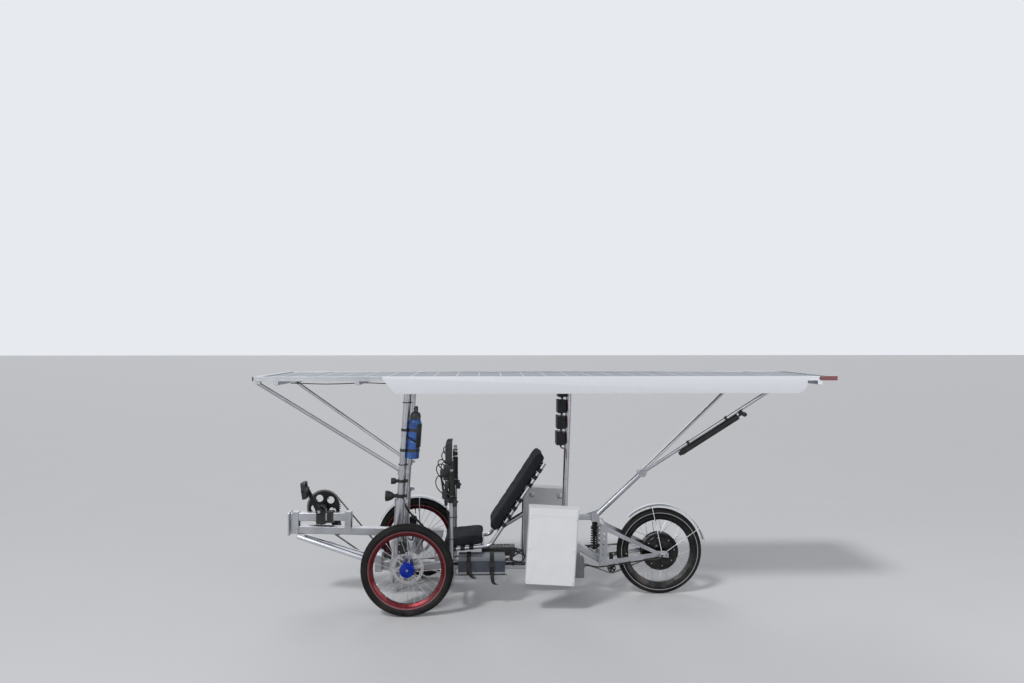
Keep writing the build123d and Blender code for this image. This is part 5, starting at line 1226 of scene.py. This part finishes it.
panelForm = {
    "count": 3, "first": -1.5586, "pitch": 1.0391, "shares": (0.22, 0.78), "y": 0.3400, "z": 1.3021,
    "clamp": ((0.040, 0.018, 0.0036), 0.0009),
}
clampPlaces = [panelForm["first"] + (number + share) * panelForm["pitch"]
               for number in range(panelForm["count"]) for share in panelForm["shares"]]
clamps = [block("clamp", (x, side * panelForm["y"], panelForm["z"]), *panelForm["clamp"])
          for x in clampPlaces for side in (-1, 1)]
finishPiece(joinPieces(clamps, "panelClamps"), "railAlloy", "chassis")
print("panels clamped")


# pale side bands, cut aslant at the front and rounded below at the rear

bandForm = {
    "x": (-0.899, 1.429), "y": (0.372, 0.375), "z": (1.210, 1.304), "slant": (0.070, 0.082), "round": 0.060,
    "edge": 0.0006,
}
low, high = (Vector([bandForm[axis][end] for axis in "xyz"]) for end in (0, 1))


# test for the lower edge across the band at one of its ends
def lowerCorner(x):
    def test(edge):
        return all(vertex.co.z < low.z + 0.001 and abs(vertex.co.x - x) < 0.001 for vertex in edge.verts)

    return test


def sharpSide(edge):
    level = {abs(face.normal.y) > 0.9 for face in edge.link_faces}
    return len(edge.link_faces) == 2 and edge.calc_face_angle() > 0.9 and level == {True, False}


bands = []
for side in (-1, 1):
    bandPiece = block("sideBand", (low + high) / 2, high - low)
    roundEdges(bandPiece, bandForm["round"], 10, lowerCorner(high.x))
    roundEdges(bandPiece, bandForm["slant"][0], 1, lowerCorner(low.x))
    # the slant rises further than it runs
    for vertex in bandPiece.data.vertices:
        if vertex.co.x < low.x + 0.001 and low.z + 0.001 < vertex.co.z < high.z - 0.001:
            vertex.co.z = low.z + bandForm["slant"][1]
    roundEdges(bandPiece, bandForm["edge"], 2, sharpSide)
    placeMesh(bandPiece, Matrix.Diagonal((1, side, 1, 1)))
    if side < 0:
        bandPiece.data.flip_normals()
    bands.append(bandPiece)
sideBands = joinPieces(bands, "sideBands")
finishPiece(sideBands, "bandWhite", "chassis", 30)
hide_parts("side_bands")
print("bands cut")


# cable loops of the controls, held at both ends on the steering bar

controlLoops = {  # points as reach forward of the bar, inset from its tube, height
    "Throttle": [
        (0.010, 0.006, 0.792), (0.030, 0.010, 0.806), (0.062, 0.014, 0.818), (0.086, 0.018, 0.800),
        (0.084, 0.018, 0.764), (0.060, 0.014, 0.738), (0.040, 0.010, 0.700), (0.028, 0.014, 0.655),
        (0.014, 0.013, 0.615), (0.006, 0.0135, 0.575), (0.004, 0.0140, 0.530),
    ],
    "Gear": [
        (0.012, 0.002, 0.626), (0.040, 0.014, 0.640), (0.074, 0.020, 0.664), (0.092, 0.022, 0.700),
        (0.084, 0.020, 0.742), (0.056, 0.016, 0.752), (0.032, 0.012, 0.722), (0.020, 0.013, 0.660),
        (0.010, 0.0135, 0.600), (0.0, 0.0145, 0.556), (0.0, 0.0142, 0.500),
    ],
    "Bell": [
        (0.008, -0.006, 0.800), (0.030, -0.010, 0.832), (0.058, -0.006, 0.846), (0.078, 0.004, 0.828),
        (0.070, 0.012, 0.796), (0.042, 0.012, 0.776), (0.016, 0.008, 0.784),
    ],
}
for side, sideName in sides:
    for loopName, rows in controlLoops.items():
        points = [(barX - reach, side * (barY - inset), z) for reach, inset, z in rows]
        heldCable(f"{sideName}{loopName}Loop", points, 0.0030, "steering_bar")
print("control loops held")


# small cases of the controls above and below the grips, with their collars

controlForms = {  # name: forward, inset, height, sizes along x, y, z, corner
    "case": (0.024, 0.004, 0.796, (0.040, 0.034, 0.030), 0.006),
    "lug": (0.018, 0.0, 0.612, (0.030, 0.026, 0.018), 0.004),
    "knob": (-0.016, 0.010, 0.626, (0.022, 0.016, 0.012), 0.003),
    "pod": (0.040, 0.006, 0.764, (0.046, 0.032, 0.044), 0.008),
    "display": (0.024, -0.003, 0.700, (0.022, 0.044, 0.040), 0.005),
    "reservoir": (0.037, 0.002, 0.648, (0.030, 0.028, 0.056), 0.009),
    "collarLug": (0.030, 0.0, 0.735, (0.030, 0.024, 0.018), 0.004),
}
collarForm = {"inner": 0.0112, "outer": 0.0150, "places": ((0.796, 0.020), (0.820, 0.006))}
controlParts = []
for side in (-1, 1):
    for reach, inset, z, size, corner in controlForms.values():
        controlParts.append(block("case", (barX - reach, side * (barY - inset), z), size, corner, 3))
    # collars round the bar
    inner, outer = collarForm["inner"], collarForm["outer"]
    for z, tall in collarForm["places"]:
        spot = Matrix.Translation((barX, side * barY, z - tall / 2))
        steps = [(0, inner), (0, outer), (tall, outer), (tall, inner)]
        controlParts.append(ringStack("collar", steps, 24, spot))
finishPiece(joinPieces(controlParts, "controlCases"), "blackPlastic", "steering_bar")


# cables from the left mast, along the keel, under the seat and to the motor

wiring = {  # name: radius, points
    "mastLoomFirst": (0.0030, [
        (-0.8032, -0.1686, 0.6185), (-0.8040, -0.1686, 0.606), (-0.8030, -0.163, 0.585),
        (-0.786, -0.146, 0.540), (-0.752, -0.120, 0.492), (-0.706, -0.090, 0.440), (-0.660, -0.062, 0.372),
        (-0.626, -0.040, 0.300), (-0.606, -0.024, 0.240), (-0.600, -0.014, 0.2105),
        (-0.580, -0.012, 0.2095),
    ]),
    "mastLoomSecond": (0.0030, [
        (-0.8125, -0.1634, 0.6185), (-0.8130, -0.1632, 0.604), (-0.809, -0.155, 0.578),
        (-0.788, -0.136, 0.530), (-0.752, -0.108, 0.480), (-0.704, -0.078, 0.426), (-0.656, -0.050, 0.356),
        (-0.624, -0.026, 0.288), (-0.608, -0.010, 0.236), (-0.602, -0.004, 0.2105),
        (-0.580, -0.004, 0.2095),
    ]),
    "batteryLead": (0.0040, [
        (-0.2285, -0.140, 0.243), (-0.205, -0.140, 0.243), (-0.176, -0.138, 0.236), (-0.146, -0.120, 0.222),
        (-0.122, -0.086, 0.222), (-0.110, -0.050, 0.240), (-0.124, -0.028, 0.262), (-0.150, -0.028, 0.263),
        (-0.158, -0.028, 0.263),
    ]),
    "batteryLeadReturn": (0.0040, [
        (-0.2285, -0.118, 0.243), (-0.204, -0.118, 0.244), (-0.178, -0.112, 0.256), (-0.150, -0.092, 0.270),
        (-0.126, -0.060, 0.276), (-0.118, -0.034, 0.270), (-0.132, -0.024, 0.263), (-0.158, -0.026, 0.263),
    ]),
    "chargeLead": (0.0034, [
        (-0.158, 0.020, 0.263), (-0.132, 0.020, 0.262), (-0.108, 0.021, 0.244), (-0.086, 0.021, 0.218),
        (-0.060, 0.020, 0.2110), (-0.030, 0.0195, 0.2110), (-0.010, 0.0195, 0.2110),
    ]),
    "keelLoomHigh": (0.0034, [
        (-0.575, -0.0286, 0.196), (-0.520, -0.0286, 0.193), (-0.400, -0.0286, 0.195),
        (-0.280, -0.0286, 0.192), (-0.160, -0.0286, 0.195), (-0.040, -0.0286, 0.192),
        (0.080, -0.0286, 0.194), (0.150, -0.0300, 0.192), (0.168, -0.0420, 0.190), (0.170, -0.0490, 0.190),
    ]),
    "keelLoomLow": (0.0034, [
        (-0.575, -0.0286, 0.186), (-0.460, -0.0286, 0.187), (-0.340, -0.0286, 0.184),
        (-0.220, -0.0286, 0.186), (-0.100, -0.0286, 0.183), (0.020, -0.0286, 0.185),
        (0.120, -0.0290, 0.182), (0.155, -0.0360, 0.178), (0.170, -0.0490, 0.176),
    ]),
    "socketLoop": (0.0040, [
        (-0.158, -0.028, 0.255), (-0.118, -0.034, 0.246), (-0.090, -0.060, 0.226), (-0.066, -0.074, 0.196),
        (-0.034, -0.072, 0.170), (0.010, -0.058, 0.158), (0.070, -0.050, 0.156), (0.130, -0.049, 0.160),
        (0.170, -0.049, 0.162),
    ]),
    "motorLead": (0.0042, [
        (0.690, -0.0940, 0.253), (0.690, -0.1015, 0.252), (0.684, -0.1055, 0.243), (0.664, -0.1030, 0.2290),
        (0.640, -0.0920, 0.2240), (0.612, -0.0830, 0.2220), (0.560, -0.0800, 0.2145),
        (0.480, -0.0800, 0.2025), (0.400, -0.0800, 0.1905), (0.352, -0.0780, 0.1825),
        (0.318, -0.0680, 0.1760), (0.286, -0.0560, 0.1770), (0.262, -0.0495, 0.1815),
        (0.243, -0.0493, 0.1820),
    ]),
}
for wireName, (radius, points) in wiring.items():
    heldCable(wireName, points, radius)
print("wiring laid:", len(wiring))


# clips that hold the wiring on the keel and on the swingarm

clipForms = [  # size, y, and the places along x and z
    ((0.0075, 0.0100, 0.0240), -0.0290, [(x, 0.1895) for x in (-0.540, -0.180, -0.060, 0.060)]),
    ((0.0070, 0.0140, 0.0130), -0.0785, [(0.600, 0.2222), (0.500, 0.2072), (0.410, 0.1940)]),
]
clips = [block("clip", (x, y, z), size, 0.0015) for size, y, places in clipForms for x, z in places]
finishPiece(joinPieces(clips, "wiringClips"), "blackPlastic", "chassis")


# rubber feet under the battery tray's rear end

footForm = {
    "x": -0.243, "y": (-0.188, -0.090), "z": 0.1502,
    "steps": [(0, 0.0060), (0.0010, 0.0072), (0.0200, 0.0084), (0.0206, 0.0100), (0.0240, 0.0100)],
}
feet = [ringStack("foot", footForm["steps"], 20, Matrix.Translation((footForm["x"], y, footForm["z"])))
        for y in footForm["y"]]
finishPiece(joinPieces(feet, "batteryFeet"), "gripRubber", "chassis")


# webbing laced round the seat frame behind the pads

laceForm = {"rail": 0.135, "around": 0.0117, "thick": 0.0010, "half": 0.0125}
laceRuns = {  # start of a rail's middle line, its direction, places along it
    "pan": ((-0.5817, 0.3013), (0.9965, 0.0841), (0.060, 0.110, 0.160)),
    "back": ((-0.2737, 0.3875), (0.5547, 0.8320), (0.068, 0.124, 0.180, 0.236, 0.340, 0.392, 0.440)),
}
laceHalf = (laceForm["rail"] + laceForm["around"], laceForm["around"], laceForm["half"])
laceSize = [2 * part for part in laceHalf]
laces = []
for start, way, places in laceRuns.values():
    # width lies along world y, the band's height along the rail
    frameTurn = Matrix(((0, way[1], way[0]), (1, 0, 0), (0, -way[0], way[1]))).to_4x4()
    for reach in places:
        lace = block("lace", (0, 0, 0), laceSize)
        dropFaces(lace, lambda face: abs(face.normal.z) > 0.9)
        roundEdges(lace, laceForm["around"] * 0.98, 6, runsAlong(2))
        addModifier(lace, "SOLIDIFY", thickness=laceForm["thick"], offset=1)
        centre = (start[0] + way[0] * reach, 0, start[1] + way[1] * reach)
        placeMesh(lace, Matrix.Translation(centre) @ frameTurn)
        laces.append(lace)
finishPiece(joinPieces(laces, "seatLacing"), "blackWebbing", "chassis", 45)
print("seat laced:", len(laces))


# bottle strap, wound aslant, and the dark cage behind the bottle: an upright channel round its rear side

strapBand = {"z": 0.940, "tilt": 30.0, "radius": 0.0356, "wide": 0.0110, "thick": 0.0011}
bottleForm = {"z": 0.836, "radius": 0.035, "gap": 0.0025}
cageForm = {"z": (0.900, 1.030), "radius": (0.0358, 0.0395), "spread": 66.0}
bottleX = mastX(bottleForm["z"]) + mastLine["radius"] + bottleForm["radius"] + bottleForm["gap"]
bottleX += mastLine["lean"] * (strapBand["z"] - bottleForm["z"])
winding = openTube("bottleStrap", strapBand["radius"], strapBand["wide"], 40)
for vertex in winding.data.vertices:
    vertex.co.z -= vertex.co.x * math.tan(math.radians(strapBand["tilt"]))
placeMesh(winding, Matrix.Translation((bottleX, -mastLine["y"], strapBand["z"])))
addModifier(winding, "SOLIDIFY", thickness=strapBand["thick"], offset=1)
finishPiece(winding, "blackWebbing", "chassis", 50)


def beyondSpread(face):
    middle = face.calc_center_median()
    return abs(math.degrees(math.atan2(middle.y, middle.x))) > cageForm["spread"]


cage = openTube("bottleCage", cageForm["radius"][0], cageForm["z"][1] - cageForm["z"][0], 72)
dropFaces(cage, beyondSpread, "FACE")
addModifier(cage, "SOLIDIFY", thickness=cageForm["radius"][1] - cageForm["radius"][0], offset=1)
addModifier(cage, "BEVEL", width=0.0010, segments=2, limit_method="ANGLE")
for vertex in cage.data.vertices:
    vertex.co.x += mastLine["lean"] * vertex.co.z
cageZ = sum(cageForm["z"]) / 2
cageX = bottleX + mastLine["lean"] * (cageZ - strapBand["z"])
placeMesh(cage, Matrix.Translation((cageX, -mastLine["y"], cageZ)))
finishPiece(cage, "blackPlastic", "chassis", 50)
print("bottle strapped")


# mirror's rounded back over its flat case

shellForm = {
    "centre": (-0.5470, -0.327, 0.890), "half": (0.0150, 0.0418, 0.0685), "thick": 0.0018, "full": 0.62,
    "square": 0.70,
}
shell = startPiece("mirrorShell", bpy.ops.mesh.primitive_uv_sphere_add, segments=40, ring_count=20, radius=1)
dropFaces(shell, lambda face: face.calc_center_median().x > 0, "FACE")
# fuller towards the corners than a plain ellipse
for vertex in shell.data.vertices:
    reach = math.hypot(vertex.co.y, vertex.co.z)
    if reach > 0.001:
        square = max(abs(vertex.co.y), abs(vertex.co.z)) / reach
        grow = 1 + shellForm["full"] * (1 / max(square, shellForm["square"]) - 1)
        vertex.co.y *= grow
        vertex.co.z *= grow
placeMesh(shell, Matrix.Translation(shellForm["centre"]) @ Matrix.Diagonal((*shellForm["half"], 1)))
addModifier(shell, "SOLIDIFY", thickness=shellForm["thick"], offset=-1)
finishPiece(shell, "blackPlastic", "steering_bar", 50)
print("mirror backed")


# rubber grip on the pump's handle

handleEnds = (Vector((1.1293, -0.2257, 1.0793)), Vector((1.0780, -0.2998, 1.0975)))
gripHalf = [(0.0110, 0.0100), (0.0150, 0.0122), (0.0460, 0.0128), (0.0480, 0.0112), (0.0480, 0.0084)]
gripSteps = [(-height, radius) for height, radius in reversed(gripHalf)] + gripHalf
gripSpot = aimedAt((handleEnds[0] + handleEnds[1]) / 2, handleEnds[0] - handleEnds[1])
pumpGrip = ringStack("pumpGrip", gripSteps, 28, gripSpot)
finishPiece(pumpGrip, "gripRubber", "chassis")
print("pump gripped")


# side boxes: catches at the lid's edge and corner rivets

boxForm = {
    "middle": (0.025, 0.3705), "outer": 0.3500, "inner": 0.3500 - 0.094 - 0.0004, "tall": 0.418, "tilt": 3.5,
    "lid": 0.042, "catches": (-0.088, 0.088), "rivets": ((-0.122, 0.122), (-0.197, -0.020, 0.150)),
    "sunk": 0.0015,
}
rivetSteps = [(-0.001, 0.0034), (0.0002, 0.0034), (0.0009, 0.0028), (0.0013, 0.0014)]
catchForms = ((0.004, (0.026, 0.0050, 0.030)), (0.010, (0.018, 0.0090, 0.012)))  # below the lid's edge, size
boxTurn = Matrix.Rotation(math.radians(boxForm["tilt"]), 4, "Y")
lidEdge = boxForm["tall"] / 2 - boxForm["lid"]


def onBox(side, along, out, up):
    place = boxTurn @ Vector((along, 0, up))
    return (boxForm["middle"][0] + place.x, side * out, boxForm["middle"][1] + place.z)


catches = []
rivets = []
for side in (-1, 1):
    for along in boxForm["catches"]:
        for down, size in catchForms:
            place = onBox(side, along, boxForm["inner"], lidEdge - down)
            catches.append(block("catch", place, size, 0.0012, turn=boxTurn))
    for along in boxForm["rivets"][0]:
        for up in boxForm["rivets"][1]:
            rivets.append(aimedAt(onBox(side, along, boxForm["outer"] - boxForm["sunk"], up), (0, side, 0)))
finishPiece(joinPieces(catches, "boxCatches"), "plainSteel", "chassis")
rivet = ringStack("rivet", rivetSteps, 12)
finishPiece(scatter(rivet, "boxRivets", rivets), "plainSteel", "chassis", 50)
print("boxes fitted")


# calipers: bolt at the hose's end, pad pin, and short hose to the kingpin

caliperForm = {
    "banjoAt": (-0.806, 0.300, 0.3968), "pinAt": (-0.8185, 0.305, 0.372),
    "banjo": [(0, 0.0058), (0.0060, 0.0058), (0.0062, 0.0046), (0.0100, 0.0046)],
    "pin": [(-0.001, 0.0034), (0.0030, 0.0034), (0.0034, 0.0026), (0.0046, 0.0026)],
}
caliperHose = [
    (-0.806, 0.300, 0.4005), (-0.800, 0.297, 0.4045), (-0.786, 0.290, 0.4060), (-0.774, 0.282, 0.3980),
    (-0.765, 0.274, 0.3760), (-0.764, 0.268, 0.3540), (-0.766, 0.263, 0.3370), (frontX, kingpinY, 0.3330),
]
for side, sideName in sides:
    banjoAt, pinAt = ((x, side * y, z) for x, y, z in (caliperForm["banjoAt"], caliperForm["pinAt"]))
    banjo = ringStack("banjo", caliperForm["banjo"], 6, Matrix.Translation(banjoAt))
    pin = ringStack("pin", caliperForm["pin"], 10, aimedAt(pinAt, (-1, 0, 0)))
    finishPiece(joinPieces([banjo, pin], f"{sideName}HoseBolts"), "plainSteel", f"{sideName}_steering", 30)
    points = [(x, side * y, z) for x, y, z in caliperHose]
    heldCable(f"{sideName}CaliperHose", points, 0.0025, f"{sideName}_steering")
print("calipers fitted")


# floor, backdrop and lamps

studio = {
    "floorSize": 160.0, "floorColors": ((0.54, 0.54, 0.55), [1.04 * part for part in (0.54, 0.54, 0.55)]),
    "skyColor": (0.80, 0.83, 0.87, 1), "ambient": 0.40,
    "suns": [(38.0, -12.0, -28.0, 1.45, 10.0), (-48.0, 6.0, 20.0, 0.60, 30.0)],  # turns, power, softness
    "lamps": [  # place, aim, size, watts
        ((-3.2, -4.6, 3.0), (-0.2, 0.0, 0.6), 3.2, 70.0),
        ((3.4, -3.6, 2.2), (0.4, 0.0, 0.5), 3.0, 45.0),
    ],
}
bpy.ops.object.select_all(action="DESELECT")
bpy.ops.mesh.primitive_plane_add(size=studio["floorSize"], location=(0, 0, 0))
floor = bpy.context.object
floor.name = "studioFloor"
floorLook = Finish("studioFloor")
floorCloud = noise(floorLook.tree, floorLook.place, 2.0, 5.0)
floorLook.put({"Base Color": floorLook.mix(floorCloud, *studio["floorColors"]), "Roughness": 0.8})
floor.data.materials.append(floorLook.material)

world = bpy.data.worlds.new("paleStudio")
bpy.context.scene.world = world
world.use_nodes = True
backdrop = world.node_tree.nodes["Background"]
backdrop.inputs["Color"].default_value = studio["skyColor"]
ray = world.node_tree.nodes.new("ShaderNodeLightPath").outputs
seen = maths(world.node_tree, "MAXIMUM", ray["Is Camera Ray"], ray["Is Glossy Ray"])
world.node_tree.links.new(ramp(world.node_tree, seen, low=studio["ambient"]), backdrop.inputs["Strength"])

for number, (place, aim, size, watts) in enumerate(studio["lamps"]):
    bpy.ops.object.light_add(type="AREA", location=place)
    lamp = bpy.context.object
    lamp.name = f"softLamp{number}"
    lamp.data.size = size
    lamp.data.energy = watts
    lamp.rotation_euler = (Vector(aim) - Vector(place)).to_track_quat("-Z", "Y").to_euler()
for number, (*turns, power, softness) in enumerate(studio["suns"]):
    bpy.ops.object.light_add(type="SUN", location=(0, 0, 6))
    sun = bpy.context.object
    sun.name = f"softSun{number}"
    sun.data.energy = power
    sun.data.angle = math.radians(softness)
    sun.rotation_euler = [math.radians(turn) for turn in turns]
print("studio set")
